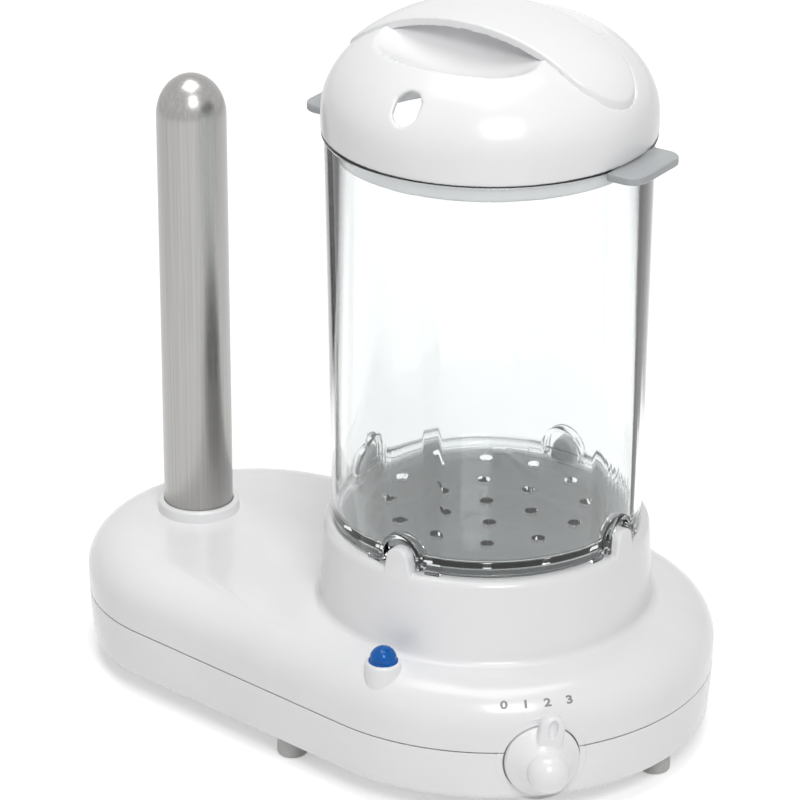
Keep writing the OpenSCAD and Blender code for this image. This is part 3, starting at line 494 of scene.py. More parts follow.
def patterned(name, patterns, tone, rough, bump, sockets, at=(0.35, 0.65)):
    """A material whose colour, roughness and bump follow patterns on the object's coordinates.

    Each pattern has a size in millimetres, its detail (none gives specks) and maybe a stretch. Tone is a
    pattern with its two colours, rough one with its two values, bump one with its strength and millimetres,
    and at is where the two colours stand on the pattern.
    """
    finish, tree, out, where = new_finish(name)
    values = {}
    for key, (mm, detail, *stretch) in patterns.items():
        place = where
        if stretch:
            place = add(tree, "ShaderNodeMapping", {"Vector": where, "Scale": stretch[0]}).outputs["Vector"]
        values[key] = add(tree, "ShaderNodeTexNoise" if detail else "ShaderNodeTexVoronoi",
                          {"Vector": place, "Scale": 1 / (mm * MM), "Detail": detail}).outputs[0]
    ramp = add(tree, "ShaderNodeValToRGB", {"Fac": values[tone[0]]}, stops=tuple(zip(at, tone[1:])))
    span = add(tree, "ShaderNodeMapRange", {
        "Value": values[rough[0]], "To Min": rough[1], "To Max": rough[2]})
    shader = add(tree, "ShaderNodeBsdfPrincipled", {
        "Base Color": ramp.outputs["Color"], "Roughness": span.outputs["Result"], **sockets})
    if bump:
        relief = add(tree, "ShaderNodeBump", {
            "Height": values[bump[0]], "Strength": bump[1], "Distance": bump[2] * MM})
        tree.links.new(relief.outputs["Normal"], shader.inputs["Normal"])
    tree.links.new(shader.outputs["BSDF"], out.inputs["Surface"])
    return finish


def moulded_white(name, colour):
    """White ABS from a polished mould: an even gloss, with a faint ripple in the reflections."""
    return patterned(name, {"cloud": (38, 3.0), "ripple": (5, 2.0)},
                     ("cloud", tint(colour, 0.975), tint(colour, 1.01)), ("cloud", 0.16, 0.25),
                     ("ripple", 0.025, 0.4), {"IOR": 1.52})


def clear_moulded(name, colour):
    """Clear SAN from a polished mould: it lets light through, with a soft flow ripple and faint wear."""
    return patterned(name, {"flow": (22, 1.0), "haze": (9, 5.0)},
                     ("haze", tint(colour, 0.985), colour), ("haze", 0.01, 0.05),
                     ("flow", 0.02, 0.5), {"IOR": 1.5, "Transmission Weight": 1.0})


def frosted_moulded(name, colour):
    """SAN with a fine matt grain from the mould: it scatters what shows through and looks pale grey."""
    return patterned(name, {"grain": (0.7, 3.0)},
                     ("grain", tint(colour, 0.95), tint(colour, 1.03)), ("grain", 0.34, 0.46),
                     ("grain", 0.15, 0.05), {"IOR": 1.5, "Transmission Weight": 0.35})


def drawn_stainless(name, colour):
    """Drawn stainless tube: fine lines along its length, coarser than real so that they show."""
    return patterned(name, {"lines": (4, 6.0, (5.0, 5.0, 0.06)), "cloud": (30, 2.0)},
                     ("lines", tint(colour, 0.9), tint(colour, 1.04)), ("cloud", 0.22, 0.3),
                     ("lines", 0.05, 0.1), {"Metallic": 1.0})


def plain_metal(name, code, rough, grain_mm):
    """Plated or rolled metal of an inner piece: a soft shine with small cloudy patches and a fine grain."""
    colour = linear(code)
    return patterned(name, {"patch": (6, 4.0), "grain": (grain_mm, 2.0)},
                     ("patch", tint(colour, 0.88), tint(colour, 1.04)), ("patch", rough - 0.06, rough + 0.08),
                     ("grain", 0.06, 0.05), {"Metallic": 1.0})


def non_stick_coat(name, colour):
    """Baked non-stick coat on a pressed dish: dark, half gloss, with fine pale specks."""
    return patterned(name, {"speck": (1.6, 0.0), "peel": (1.2, 3.0)},
                     ("speck", tint(colour, 2.0), colour), ("peel", 0.34, 0.46),
                     ("peel", 0.12, 0.06), {"IOR": 1.36}, at=(0.03, 0.12))


def dull_moulded(name, colour, rough, grain_mm, relief_mm):
    """Rubber, ceramic, ink or plain dark plastic: no gloss, a fine grain and slightly uneven colour."""
    return patterned(name, {"cloud": (8, 4.0), "grain": (grain_mm, 4.0)},
                     ("cloud", tint(colour, 0.9), tint(colour, 1.05)), ("grain", rough - 0.06, rough + 0.06),
                     ("grain", 0.25, relief_mm), {})


def tinted_clear(name, colour, through, rough):
    """Tinted clear acrylic or lamp glass: deep colour all over, one small bright gloss."""
    return patterned(name, {"cloud": (3, 2.0)},
                     ("cloud", tint(colour, 0.85), tint(colour, 1.15)), ("cloud", rough, rough + 0.04),
                     None, {"IOR": 1.49, "Specular IOR Level": 0.15, "Transmission Weight": through})


# Pieces.

class BaseShells(bpy.types.Operator):
    """Models the lower and upper shell of the base, with the pedestal, posts, lamp boss and knob recess."""
    bl_idname = "maker.base_shells"
    bl_label = "Base shells"

    def execute(self, context):
        scene = context.scene
        base, knob, colours = scene.maker_base, scene.maker_knob, scene.maker_finish
        white = moulded_white("moulded white ABS shells", colours.white)
        side = base.big_r - base.seam_inset
        seam_in = side - base.seam_round
        gap = base.seam_gap / 2
        hair, slack = 0.02 * MM, 0.3 * MM
        outside = 100 * MM
        axis = knob_axis(knob)

        def on_lip(point):
            local = axis.inverted() @ point
            return (abs(local.xy.length - knob.recess_r) < hair and local.z > knob.recess_floor + MM
                    and abs(point.z - base.seam_z) > gap + hair)

        def recess(piece):
            tool = rod("recess_tool", knob.recess_r, knob.recess_floor, outside, Vector(), 96)
            combined(piece, placed(tool, axis), "DIFFERENCE")
            picked(piece, "EDGE", on_lip)
            bpy.ops.mesh.bevel(offset=knob.recess_lip, segments=5, affect="EDGES", clamp_overlap=True)
            edited()

        # Lower shell: rounded lower edge, side with a little draft, open at the seam.
        low_r = base.big_r - base.bottom_inset
        seam_low = base.seam_z - gap
        lower = round_the_base("lower_shell", [(r * MM, base.under_z) for r in (30, 60)]
            + arc((low_r - base.bottom_round, base.under_z + base.bottom_round), base.bottom_round, -90, 0, 8)
            + [(side, seam_low - base.seam_round)]
            + arc((seam_in, seam_low - base.seam_round), base.seam_round, 15, 80, 4)
            + [(side - base.wall, seam_low)], base)
        recess(lower)

        # Sunk screw holes, each under one of the housing's screws.
        bore_low, bore_high, screw_w = 4 * MM, 14 * MM, 10 * MM
        spots = []
        for point in frame["nodes"]["housing_screws"].data.vertices:
            at = Vector((point.co.x, point.co.y, 0))
            same = [spot for spot in spots if (spot[0] / spot[1] - at).length < screw_w]
            if same:
                same[0][0] += at
                same[0][1] += 1
            else:
                spots.append([at, 1])
        for total, count in spots:
            at = total / count
            combined(lower, rod("screw_bore", base.screw_bore, bore_low, bore_high, at, 48), "DIFFERENCE")
            without_faces(lower, lambda c, n: (c - at).xy.length < base.screw_bore - 0.1 * MM
                          and c.z > bore_high - 0.1 * MM)
        without_faces(lower, lambda c, n: n.z > FLAT and abs(c.z - seam_low) < slack)
        shaped(lower, "SOLIDIFY", thickness=base.wall, offset=-1.0, use_even_offset=False)
        settled(smooth(lower), "base", white, "white_lower", "lower_housing")

        # Upper shell: side, wide roll and a flat top of narrow rings, sunk into a hollow round the pedestal.
        seam_high = base.seam_z + gap
        flat_r = base.big_r - base.edge_roll
        rings = [(flat_r - i * 2 * MM, base.top_z) for i in range(1, 22)]
        upper = round_the_base("upper_shell", [(side - base.wall, seam_high)]
            + arc((seam_in, seam_high + base.seam_round), base.seam_round, -80, -15, 4)
            + [(side, seam_high + base.seam_round)]
            + arc((flat_r, base.widest_z), (base.edge_roll, base.top_z - base.widest_z), 0, 90, 20)
            + rings, base)
        picked(upper, "FACE", lambda c, n: n.z > FLAT)
        bpy.ops.mesh.quads_convert_to_tris(quad_method="BEAUTY", ngon_method="BEAUTY")
        edited()
        for point in upper.data.vertices:
            away = (Vector((point.co.x, point.co.y, 0)) - JAR_AT).length
            share = (away - base.hollow_in) / (base.hollow_out - base.hollow_in)
            if 0 < share < 1:
                point.co.z = min(point.co.z, base.top_z - base.hollow_depth * math.sin(math.pi * share) ** 2)

        # Pedestal: a fillet at its foot, and a rim with a step inside for the dish.
        under = base.top_z - 6 * MM
        foot_r = base.ped_foot_r + base.ped_fillet
        foot_z = base.top_z + hair + base.ped_fillet
        ledge_z = base.rim_z - base.ledge_drop
        chamfer = 0.5 * MM
        pedestal = turned("pedestal", [(0, under), (foot_r, under)]
            + arc((foot_r, foot_z), base.ped_fillet, 270, 180, 8)
            + arc((base.ped_r - base.ped_round, base.rim_z - base.ped_round), base.ped_round, 0, 90, 8)
            + [(base.ledge_r + chamfer, base.rim_z), (base.ledge_r, base.rim_z - chamfer),
               (base.ledge_r, ledge_z), (base.opening_r, ledge_z), (0, ledge_z)], JAR_AT, 160)
        combined(upper, pedestal, "UNION")

        # Locating posts: a tapered tab with a round top, rounded all over.
        half, top_r = base.post_w / 2, base.post_top_w / 2
        low = base.rim_z - 4 * MM
        tab = slab("post", [(-half, low), (half, low)]
            + arc((0, base.rim_z + base.post_top - top_r), top_r, 0, 180, 16) + [(-half, low)],
            base.post_out_r - base.post_in_r)
        rounded(tab, 0.9, 4)
        placed(tab, Matrix.Translation(JAR_AT + Vector((base.post_in_r, 0, 0))) @ UPRIGHT)
        for place in ROUND_JAR[1:]:
            combined(upper, twin(tab, place), "UNION")
        combined(upper, tab, "UNION")

        # Lamp boss and the spike's hole.
        boss_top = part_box("lamp_lens")[1].z - scene.maker_lamp.lens_h
        boss_low, edge = boss_top - 16 * MM, 1.2 * MM
        boss = turned("lamp_boss", [(0, boss_low), (base.boss_r + 0.4 * MM, boss_low),
                (base.boss_r + 0.2 * MM, boss_top - 6 * MM)]
            + arc((base.boss_r - edge, boss_top - edge), edge, 0, 90, 5) + [(0, boss_top)], LAMP_AT, 64)
        combined(upper, boss, "UNION")
        combined(upper, rod("spike_hole", base.spike_hole, 20 * MM, 70 * MM, SPIKE_AT, 64), "DIFFERENCE")
        recess(upper)

        # Open at the seam, under the dish and at the spike, then given its wall.
        without_faces(upper, lambda c, n: (n.z < -FLAT and abs(c.z - seam_high) < slack)
            or (n.z > FLAT and abs(c.z - ledge_z) < slack
                and (c - JAR_AT).xy.length < base.opening_r - 0.5 * MM)
            or ((c - SPIKE_AT).xy.length < base.spike_hole + 0.01 * MM and abs(n.z) < 0.1))
        shaped(upper, "SOLIDIFY", thickness=base.wall, offset=-1.0, use_even_offset=False)
        settled(smooth(upper), "base", white, "white_housing", "upper_housing")
        return {"FINISHED"}


class DialNumbers(bpy.types.Operator):
    """Prints the dial's four numbers on the roll over the knob."""
    bl_idname = "maker.dial_numbers"
    bl_label = "Dial numbers"

    def execute(self, context):
        base, colours = context.scene.maker_base, context.scene.maker_finish
        ink = dull_moulded("grey pad print", colours.print_grey, 0.45, 0.6, 0.02)
        # How high the roll is at the numbers' distance from the jar end's centre, and how far it leans there.
        across = 78.9 * MM
        rise = base.top_z - base.widest_z
        share = (across - base.big_r + base.edge_roll) / base.edge_roll
        up = rise * math.sqrt(1 - share ** 2)
        lean = math.atan2(up / rise ** 2, share / base.edge_roll)
        widened = Matrix.Diagonal((1.3, 1.0, 1.0, 1.0))
        for mark, angle in zip("0123", (-54.7, -49.0, -43.2, -37.2)):
            clear_selection()
            bpy.ops.object.text_add()
            number = bpy.context.object
            number.name = "dial_number_" + mark
            text = number.data
            text.body = mark
            text.size = 4.1 * MM
            text.align_x = text.align_y = "CENTER"
            text.extrude = 0.06 * MM
            text.offset = 0.13 * MM
            bpy.ops.object.convert(target="MESH")
            number = bpy.context.object
            bpy.ops.object.mode_set(mode="EDIT")
            close_up()
            placed(number, Matrix.Translation(BIG_AT) @ Matrix.Rotation(math.radians(angle), 4, "Z")
                   @ Matrix.Translation((across, 0, base.widest_z + up))
                   @ Matrix.Rotation(QUARTER - lean, 4, "Y") @ Matrix.Rotation(QUARTER, 4, "Z") @ widened)
            settled(number, "base", ink, "black_plastic")
        return {"FINISHED"}


class Feet(bpy.types.Operator):
    """Models one foot and sets four."""
    bl_idname = "maker.feet"
    bl_label = "Feet"

    def execute(self, context):
        base, colours = context.scene.maker_base, context.scene.maker_finish
        rubber = dull_moulded("pale moulded rubber", colours.rubber, 0.55, 0.8, 0.05)
        low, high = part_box("rubber_feet")
        r = base.foot_r
        edge, hollow, hollow_r = 1.6 * MM, 0.6 * MM, r - 2.4 * MM
        pair_back = 47.4 * MM
        front = Vector((BIG_AT.x - pair_back, low.y + r, 0))
        places = [Vector((high.x - r, 0, 0)), Vector((low.x + r, 0, 0)), front,
                  Vector((front.x, -front.y, 0))]
        foot = turned("foot_1", [(0, hollow), (hollow_r, hollow), (hollow_r + 0.2 * MM, 0)]
            + arc((r - edge, edge), edge, -90, 0, 6)
            + [(r, base.under_z - 0.4 * MM), (r + 0.3 * MM, base.under_z), (0, base.under_z)], places[0], 64)
        others = [twin(foot, Matrix.Translation(p - places[0])) for p in places[1:]]
        settled(smooth(foot), "base", rubber, "foot_rubber", "rubber_feet")
        for number, other in enumerate(others, 2):
            other.name = "foot_%d" % number
            settled(smooth(other), "base", rubber, "foot_rubber")
        return {"FINISHED"}


class WaterDish(bpy.types.Operator):
    """Models the pressed water dish in the pedestal."""
    bl_idname = "maker.water_dish"
    bl_label = "Water dish"

    def execute(self, context):
        colours = context.scene.maker_finish
        low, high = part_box("heating_dish")
        flange = (high.x - low.x) / 2
        wall, sheet = flange - 7.7 * MM, 1.2 * MM
        corner, inside, edge = 4 * MM, 3 * MM, 0.5 * MM
        ring_in, ring_out = 15 * MM, 30 * MM
        floor = low.z + sheet
        dish = turned("water_dish", [(0, low.z)]
            + arc((wall - corner, low.z + corner), corner, -90, 0, 8)
            + [(wall, high.z - MM), (flange, high.z - MM)]
            + arc((flange - edge, high.z - edge), edge, 0, 90, 4)
            + arc((wall + 0.8 * MM, high.z - 2 * MM), 2 * MM, 90, 180, 6)
            + arc((wall - sheet - inside, floor + inside), inside, 0, -90, 8)
            + [(ring_out, floor), (ring_out - MM, floor + edge), (ring_in + MM, floor + edge),
               (ring_in, floor), (0, floor)], JAR_AT, 128)
        settled(smooth(dish), "base", non_stick_coat("baked non-stick coat", colours.coat),
                "dish_coat", "heating_dish")
        return {"FINISHED"}


class SteamJar(bpy.types.Operator):
    """Models the clear jar with its notches, pads, steam holes and grip lugs."""
    bl_idname = "maker.steam_jar"
    bl_label = "Steam jar"

    def execute(self, context):
        jar, colours = context.scene.maker_jar, context.scene.maker_finish
        inner = jar.low_r - jar.wall
        floor_low = jar.floor_z - jar.floor_t
        bead_z = jar.rim_z - jar.bead_t
        lug_z = jar.rim_z - jar.lug_t
        edge, corner = 0.5 * MM, 2 * MM
        body = turned("steam_jar", [(0, floor_low), (inner - edge, floor_low), (inner, floor_low - edge),
                (inner, jar.skirt_z + edge)]
            + arc((inner + edge, jar.skirt_z + edge), edge, 180, 270, 4)
            + arc((jar.low_r - edge, jar.skirt_z + edge), edge, -90, 0, 4)
            + [(jar.top_r, bead_z), (jar.flange_r - edge, bead_z)]
            + arc((jar.flange_r - edge, jar.rim_z - edge), edge, 0, 90, 4)
            + arc((jar.top_r - jar.wall + edge, jar.rim_z - edge), edge, 90, 180, 4)
            + arc((inner - corner, jar.floor_z + corner), corner, 0, -90, 6)
            + [(0, jar.floor_z)], JAR_AT, 144)
        # Both sides of the floor become one face each, so that the holes cut cleanly.
        picked(body, "FACE", lambda c, n: abs(n.z) > 0.999 and (c - JAR_AT).xy.length < inner - 3 * MM)
        bpy.ops.mesh.dissolve_faces()
        edited()

        def arch(name, half, low, from_r, to_r):
            top = arc((0, jar.notch_top - jar.notch_r), half, 0, 180, 24)
            piece = slab(name, [(-half, low), (half, low)] + top + [(-half, low)], to_r - from_r)
            return placed(piece, Matrix.Translation(JAR_AT + Vector((from_r, 0, 0))) @ UPRIGHT)

        # Hoods and foot pads, set a hair off the skirt's own faces, and then the notches in the hoods.
        hood_half = jar.notch_r + jar.notch_wall
        hood = arch("hood", hood_half, jar.skirt_z + 0.13 * MM, jar.notch_in - jar.notch_wall, jar.hood_out)
        rounded(hood, 0.7, 3)
        near, far, half = inner + 0.45 * MM, jar.low_r + 0.6 * MM, jar.pad_w / 2
        pad_t, pad_drop = 1.7 * MM, 1.15 * MM
        pad = slab("pad", [(near, -half), (far, -half), (far, half), (near, half), (near, -half)], pad_t)
        rounded(pad, 0.4, 3)
        swing = (hood_half + half + 0.6 * MM) / jar.low_r
        pad_seat = Matrix.Translation(JAR_AT + Vector((0, 0, jar.skirt_z - pad_drop)))
        for place in ROUND_JAR:
            combined(body, twin(hood, place), "UNION")
            for angle in (-swing, swing):
                combined(body, twin(pad, place @ pad_seat @ Matrix.Rotation(angle, 4, "Z")), "UNION")
        notch = arch("notch", jar.notch_r, jar.skirt_z - 6 * MM, jar.notch_in, jar.hood_out + 6 * MM)
        for place in ROUND_JAR:
            combined(body, twin(notch, place), "DIFFERENCE")

        # Grip lugs.
        root, half, corner = jar.top_r - MM, jar.lug_w / 2, jar.lug_corner
        lug = slab("lug", [(root, -half)] + arc((jar.lug_end - corner, corner - half), corner, -90, 0, 10)
            + arc((jar.lug_end - corner, half - corner), corner, 0, 90, 10)
            + [(root, half), (root, -half)], jar.lug_t)
        rounded(lug, 0.6, 3)
        lug_seat = Matrix.Translation(JAR_AT + Vector((0, 0, lug_z + 0.01 * MM)))
        for angle in (0, math.pi):
            combined(body, twin(lug, lug_seat @ Matrix.Rotation(angle, 4, "Z")), "UNION")
        for tool in (hood, pad, notch, lug):
            bpy.data.objects.remove(tool)

        # Steam holes: one in the middle and two rings of them, cut in one go.
        hole = rod("steam_hole", jar.steam_r, jar.skirt_z - 5 * MM, jar.floor_z + 5 * MM, JAR_AT, 24)
        holes = [hole]
        for row in (1, 2):
            for i in range(6 * row):
                out = Vector((inner / 3 * row, 0, 0))
                out.rotate(Matrix.Rotation(FULL_TURN * (i + 0.1) / (6 * row), 3, "Z"))
                holes.append(twin(hole, Matrix.Translation(out)))
        make_active(hole)
        for other in holes:
            other.select_set(True)
        bpy.ops.object.join()
        combined(body, hole, "DIFFERENCE")
        settled(smooth(body, 30), "jar", clear_moulded("clear moulded SAN", colours.clear),
                "clear_jar", "jar")
        body.data.materials.append(frosted_moulded("frosted moulded SAN", colours.frosted))
        for face in body.data.polygons:
            face.material_index = int((face.center - JAR_AT).xy.length > jar.flange_r + 0.05 * MM
                                      and face.center.z > lug_z - MM)
        return {"FINISHED"}


def dome(name, lid, more, low, steps=128):
    """The lid's closed dome, grown by a small amount."""
    r = lid.lid_r + more
    return turned(name, [(0, low), (r - 0.6 * MM, low), (r, low + 0.6 * MM)]
                  + arc((0, lid.dome_z), (r, lid.dome_h + more), 0, 90, 40), JAR_AT, steps)


def band(name, lid, more):
    """The handle band's outline as an upright column, round at both ends."""
    half = lid.band_w / 2 + more
    run = (lid.band_l - lid.band_w) / 2
    outline = arc((run, 0), half, -90, 90, 24) + arc((-run, 0), half, 90, 270, 24) + [(run, -half)]
    column = slab(name, outline, lid.dome_h + 20 * MM)
    return placed(column, Matrix.Translation(JAR_AT + Vector((0, 0, lid.dome_z))))


def scoop(name, lid, side, more):
    """One finger hollow: a long round form beside the handle."""
    swell = (lid.scoop_l ** 2 + lid.scoop_r ** 2) / (2 * lid.scoop_r)
    far = math.degrees(math.acos((swell - lid.scoop_r) / (swell + more)))
    outline = [(max(r, 0.0), z) for r, z in arc((lid.scoop_r - swell, 0), swell + more, -far, far, 40)]
    at = JAR_AT + Vector((0, side * lid.scoop_y, lid.dome_z + lid.dome_h + lid.scoop_up))
    form = turned(name, outline, Vector(), 72)
    return placed(form, Matrix.Translation(at) @ Matrix.Rotation(QUARTER, 4, "Y"))


class Lid(bpy.types.Operator):
    """Models the domed lid with its finger hollows, vent and spigot, and the handle band across it."""
    bl_idname = "maker.lid"
    bl_label = "Lid and handle"

    def execute(self, context):
        lid, colours = context.scene.maker_lid, context.scene.maker_finish
        white = moulded_white("moulded white ABS lid", colours.white)
        shell = dome("lid_dome", lid, 0, lid.rim_z)
        inside = dome("lid_inside", lid, -lid.wall, lid.rim_z - MM)
        # The band's seat, with a little play, and the wall under it.
        below = lid.rim_z - 2 * MM
        seat = band("band_seat", lid, 0.15 * MM)
        seat_wall = band("band_seat_wall", lid, lid.wall)
        combined(seat, dome("under_band", lid, -lid.band_depth - 0.1 * MM, below), "DIFFERENCE")
        combined(seat_wall, dome("under_band", lid, -lid.band_depth - lid.wall, below), "DIFFERENCE")
        combined(inside, seat_wall, "DIFFERENCE")
        for side in (-1, 1):
            combined(inside, scoop("scoop_wall", lid, side, lid.wall), "DIFFERENCE")
        combined(shell, inside, "DIFFERENCE")
        for side in (-1, 1):
            combined(shell, scoop("scoop", lid, side, 0), "DIFFERENCE")
        combined(shell, seat, "DIFFERENCE")
        # The spigot, joined to the rim by a flat ledge.
        spigot_in, ledge_out = lid.spigot_r - lid.wall, lid.lid_r - lid.wall / 2
        low, high = lid.rim_z - lid.spigot_h, lid.rim_z + lid.wall
        spigot = turned("spigot", [(spigot_in, low), (lid.spigot_r, low), (lid.spigot_r, lid.rim_z),
            (ledge_out, lid.rim_z), (ledge_out, high), (spigot_in, high), (spigot_in, low)], JAR_AT)
        combined(shell, spigot, "UNION")
        # The oval vent, cut square to the dome.
        half, run = lid.vent_w / 2, (lid.vent_l - lid.vent_w) / 2
        across = lid.lid_r * math.sqrt(1 - (lid.vent_up / lid.dome_h) ** 2)
        lean = math.atan2(lid.vent_up / lid.dome_h ** 2, across / lid.lid_r ** 2)
        cut = 12 * MM
        vent = slab("vent", arc((0, run), half, 0, 180, 20) + arc((0, -run), half, 180, 360, 20)
                    + [(half, run)], cut)
        placed(vent, Matrix.Translation(JAR_AT + Vector((0, -across, lid.dome_z + lid.vent_up)))
               @ Matrix.Rotation(QUARTER - lean, 4, "X") @ Matrix.Translation((0, 0, -cut / 2)))
        combined(shell, vent, "DIFFERENCE")
        softened(shell, 0.88 * MM, 5)
        settled(shell, "lid", white, "lid_white", "lid_shell")

        handle = dome("handle_band", lid, lid.band_proud, lid.rim_z)
        combined(handle, band("band", lid, 0), "INTERSECT")
        combined(handle, dome("under_band", lid, -lid.band_depth, below), "DIFFERENCE")
        softened(handle, 0.55 * MM, 5)
        settled(handle, "lid", white, "lid_white", "lid_handle")
        return {"FINISHED"}


class Spike(bpy.types.Operator):
    """Models the stainless spike and the white collar at its foot."""
    bl_idname = "maker.spike"
    bl_label = "Spike"

    def execute(self, context):
        base, spike, colours = context.scene.maker_base, context.scene.maker_spike, context.scene.maker_finish
        low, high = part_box("spike_tube")
        shoulder = high.z - spike.tip_h
        inner = spike.tube_r - spike.wall
        flange = (high.x - low.x) / 2
        flange_z = low.z + 1.5 * MM
        tube = turned("spike_tube_drawn", [(inner, low.z), (flange, low.z), (flange, flange_z),
                (spike.tube_r + 0.5 * MM, flange_z), (spike.tube_r, flange_z + 0.5 * MM)]
            + arc((0, shoulder), (spike.tube_r, spike.tip_h), 0, 90, 24)
            + arc((0, shoulder), (inner, spike.tip_h - spike.wall), 90, 0, 24) + [(inner, low.z)], SPIKE_AT)
        settled(smooth(tube, 30), "base", drawn_stainless("drawn stainless tube", colours.stainless),
                "stainless", "spike_tube")
        bore, neck = spike.tube_r + 0.1 * MM, spike.collar_r - MM
        top, under = base.top_z + spike.collar_h, base.top_z - base.wall
        edge, lip = 1.2 * MM, 0.4 * MM
        collar = turned("spike_collar_ring", [(bore, under), (neck, under), (neck, base.top_z - lip),
                (spike.collar_r + 0.2 * MM, base.top_z - lip)]
            + arc((spike.collar_r - edge, top - edge), edge, 0, 90, 6)
            + arc((bore + lip, top - lip), lip, 90, 180, 3) + [(bore, under)], SPIKE_AT)
        settled(smooth(collar), "base", moulded_white("moulded white ABS collar", colours.white),
                "white_housing", "spike_collar")
        return {"FINISHED"}


class Selector(bpy.types.Operator):
    """Models the selector knob: disc, cone, ball nose and raised pointer with its dimple."""
    bl_idname = "maker.selector"
    bl_label = "Selector"

    def execute(self, context):
        knob, colours = context.scene.maker_knob, context.scene.maker_finish
        crease = knob.nose_at - 2.2 * MM
        disc_top = knob.back + knob.disc_t
        chamfer, edge = 0.5 * MM, 1.2 * MM
        cone = [(10.3 * MM, knob.back + 6.6 * MM), (8.6 * MM, crease - 0.9 * MM), (7.6 * MM, crease)]
        body = turned("selector", [(0, knob.back), (knob.disc_r - chamfer, knob.back),
                (knob.disc_r, knob.back + chamfer), (knob.disc_r, disc_top - 1.5 * MM)]
            + arc((knob.disc_r - edge, disc_top - edge), edge, 10, 60, 4) + cone
            + arc((0, knob.nose_at), knob.nose_r, -14, 90, 24), Vector(), 96)
        half = knob.pointer_w / 2
        run = knob.pointer_reach - half
        pointer = slab("pointer", [(0, -half)] + arc((run, 0), half, -90, 90, 24) + [(0, half), (0, -half)],
                       knob.pointer_t)
        rounded(pointer, 1.6, 5, 60)
        placed(pointer, Matrix.Translation((0, 0, knob.pointer_in)) @ Matrix.Rotation(math.pi, 4, "Z"))
        combined(body, pointer, "UNION")
        clear_selection()
        bpy.ops.mesh.primitive_uv_sphere_add(radius=1.0, segments=32, ring_count=16)
        dimple = bpy.context.object
        reach, long, wide, deep = 15.2 * MM, 3.6 * MM, 1.8 * MM, 2.6 * MM
        place = Matrix.Translation((-reach, 0, knob.pointer_in + knob.pointer_t + 0.2 * MM))
        placed(dimple, place @ Matrix.Diagonal((long, wide, deep, 1)))
        combined(body, dimple, "DIFFERENCE")
        softened(body, 0.3 * MM, 5)
        placed(body, knob_axis(knob) @ Matrix.Rotation(-knob.pointer_turn, 4, "Z"))
        settled(body, "knob", moulded_white("moulded white ABS knob", colours.white),
                "knob_white", "selector_knob")
        return {"FINISHED"}


class PilotLamp(bpy.types.Operator):
    """Models the blue lens of the pilot lamp."""
    bl_idname = "maker.pilot_lamp"
    bl_label = "Pilot lamp"

    def execute(self, context):
        lamp, colours = context.scene.maker_lamp, context.scene.maker_finish
        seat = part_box("lamp_lens")[1].z - lamp.lens_h
        dome_at, dome_h = (0, seat + lamp.edge_h), lamp.lens_h - lamp.edge_h
        wall = 1.2 * MM
        inner, rim, low = lamp.lens_r - wall, lamp.lens_r + 0.5 * MM, seat - 0.02 * MM
        lens = turned("lamp_lens_dome", [(inner, low), (rim, low), (rim, seat + 0.5 * MM),
                (lamp.lens_r, seat + 0.7 * MM)]
            + arc(dome_at, (lamp.lens_r, dome_h), 0, 90, 20)
            + arc(dome_at, (inner, dome_h - wall), 90, 0, 16) + [(inner, low)], LAMP_AT, 64)
        settled(smooth(lens), "base", tinted_clear("blue tinted acrylic", colours.lens, 0.2, 0.06),
                "lens_blue", "lamp_lens")
        return {"FINISHED"}


class InnerFinishes(bpy.types.Operator):
    """Gives the inner pieces and the cable gland their finishes."""
    bl_idname = "maker.inner_finishes"
    bl_label = "Inner finishes"

    def execute(self, context):
        finishes = {
            "steel": plain_metal("zinc-plated steel", "#b4b8bc", 0.34, 0.5),
            "aluminium": plain_metal("rolled aluminium", "#c9cacc", 0.4, 0.8),
            "brass": plain_metal("turned brass", "#c79f57", 0.3, 0.4),
            "silicone": dull_moulded("red silicone", linear("#b23a28"), 0.5, 0.6, 0.03),
            "black_plastic": dull_moulded("dark moulded polyamide", linear("#202022"), 0.45, 0.5, 0.04),
            "ceramic": dull_moulded("fired steatite ceramic", linear("#ddd4c2"), 0.62, 0.7, 0.05),
            "neon_glass": tinted_clear("lamp glass", linear("#f0c090"), 0.8, 0.02),
        }
        slots = {row["node"]: row["material_slot"] for row in frame["record"]["subparts"]}
        for name, node in frame["nodes"].items():
            if slots[name] in finishes:
                node.data.materials.clear()
                node.data.materials.append(finishes[slots[name]])
        return {"FINISHED"}


def seen_rays(tree):
    """1 for rays from the camera, a gloss or clear plastic, and 0 for the light that falls on the object."""
    rays = add(tree, "ShaderNodeLightPath").outputs
    seen = rays["Is Camera Ray"]
    for kind in ("Is Glossy Ray", "Is Transmission Ray"):
        seen = add(tree, "ShaderNodeMath", {0: seen, 1: rays[kind]}, operation="MAXIMUM").outputs[0]
    return seen


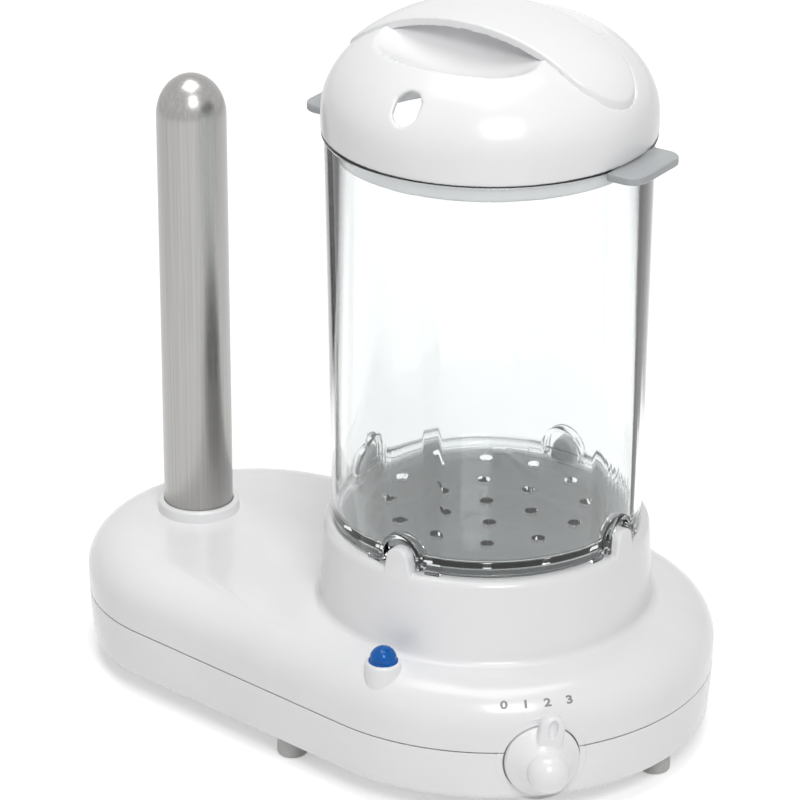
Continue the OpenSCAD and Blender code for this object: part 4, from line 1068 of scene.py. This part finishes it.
class Stage(bpy.types.Operator):
    """Sets the floor, the soft lights and the camera."""
    bl_idname = "maker.stage"
    bl_label = "Stage"

    def execute(self, context):
        scene = context.scene
        settings = scene.maker_stage
        scene.view_settings.view_transform = "Standard"

        clear_selection()
        bpy.ops.mesh.primitive_circle_add(vertices=96, radius=4, fill_type="NGON", location=(0, 0, -0.2 * MM))
        floor = bpy.context.object
        floor.name = "studio_floor"
        finish, tree, out, _ = new_finish("pale studio floor")
        lift = add(tree, "ShaderNodeMath", {0: seen_rays(tree), 1: settings.floor_lift}, operation="MULTIPLY")
        shader = add(tree, "ShaderNodeBsdfPrincipled", {
            "Base Color": settings.floor, "Roughness": 0.9, "Specular IOR Level": 0.1,
            "Emission Color": (1, 1, 1, 1), "Emission Strength": lift.outputs[0]})
        tree.links.new(shader.outputs["BSDF"], out.inputs["Surface"])
        floor.data.materials.append(finish)

        scene.world = bpy.data.worlds.new("white studio")
        scene.world.use_nodes = True
        tree = scene.world.node_tree
        tree.nodes.clear()
        strength = add(tree, "ShaderNodeMapRange", {
            "Value": seen_rays(tree), "To Min": settings.fill, "To Max": 1.0})
        sky = add(tree, "ShaderNodeBackground", {"Color": (1, 1, 1, 1), "Strength": strength.outputs["Result"]})
        add(tree, "ShaderNodeOutputWorld", {"Surface": sky.outputs["Background"]})

        aim = Vector((0.02, 0, 0.11))
        lights = (("top_light", (-0.1, 0.0, 2.4), 1.5, settings.top_watts),
                  ("key_light", (1.05, -1.1, 1.5), 0.7, settings.key_watts))
        for name, place, side, watts in lights:
            data = bpy.data.lights.new(name, "AREA")
            data.size = side
            data.energy = watts
            light = bpy.data.objects.new(name, data)
            scene.collection.objects.link(light)
            light.location = place
            light.rotation_euler = (aim - light.location).to_track_quat("-Z", "Y").to_euler()

        data = bpy.data.cameras.new("photo_camera")
        data.lens = settings.lens
        data.sensor_width = 36.0
        camera = bpy.data.objects.new("photo_camera", data)
        scene.collection.objects.link(camera)
        camera.location = CAMERA_FROM_JAR + JAR_AT
        camera.rotation_euler = (QUARTER - settings.pitch, 0, settings.heading)
        scene.camera = camera
        return {"FINISHED"}


STEPS = (BaseShells, DialNumbers, Feet, WaterDish, SteamJar, Lid, Spike, Selector, PilotLamp, InnerFinishes,
         Stage)


class MakerPanel(bpy.types.Panel):
    """Lists the steps and their sizes."""
    bl_idname = "VIEW3D_PT_hot_dog_maker"
    bl_label = "Hot dog maker"
    bl_space_type = "VIEW_3D"
    bl_region_type = "UI"
    bl_category = "Hot dog maker"

    def draw(self, context):
        for step in STEPS:
            self.layout.operator(step.bl_idname)
        for name in GROUPS:
            for key in getattr(context.scene, name).bl_rna.properties.keys():
                if key not in ("rna_type", "name"):
                    self.layout.prop(getattr(context.scene, name), key)


def register():
    for group in GROUPS.values():
        bpy.utils.register_class(group)
    for name, group in GROUPS.items():
        setattr(bpy.types.Scene, name, bpy.props.PointerProperty(type=group))
    for step in STEPS + (MakerPanel,):
        bpy.utils.register_class(step)


def unregister():
    for step in (MakerPanel,) + STEPS[::-1]:
        bpy.utils.unregister_class(step)
    for name, group in GROUPS.items():
        delattr(bpy.types.Scene, name)
        bpy.utils.unregister_class(group)


def main():
    register()
    for step in STEPS:
        group, name = step.bl_idname.split(".")
        getattr(getattr(bpy.ops, group), name)()


if __name__ == "__main__":
    main()
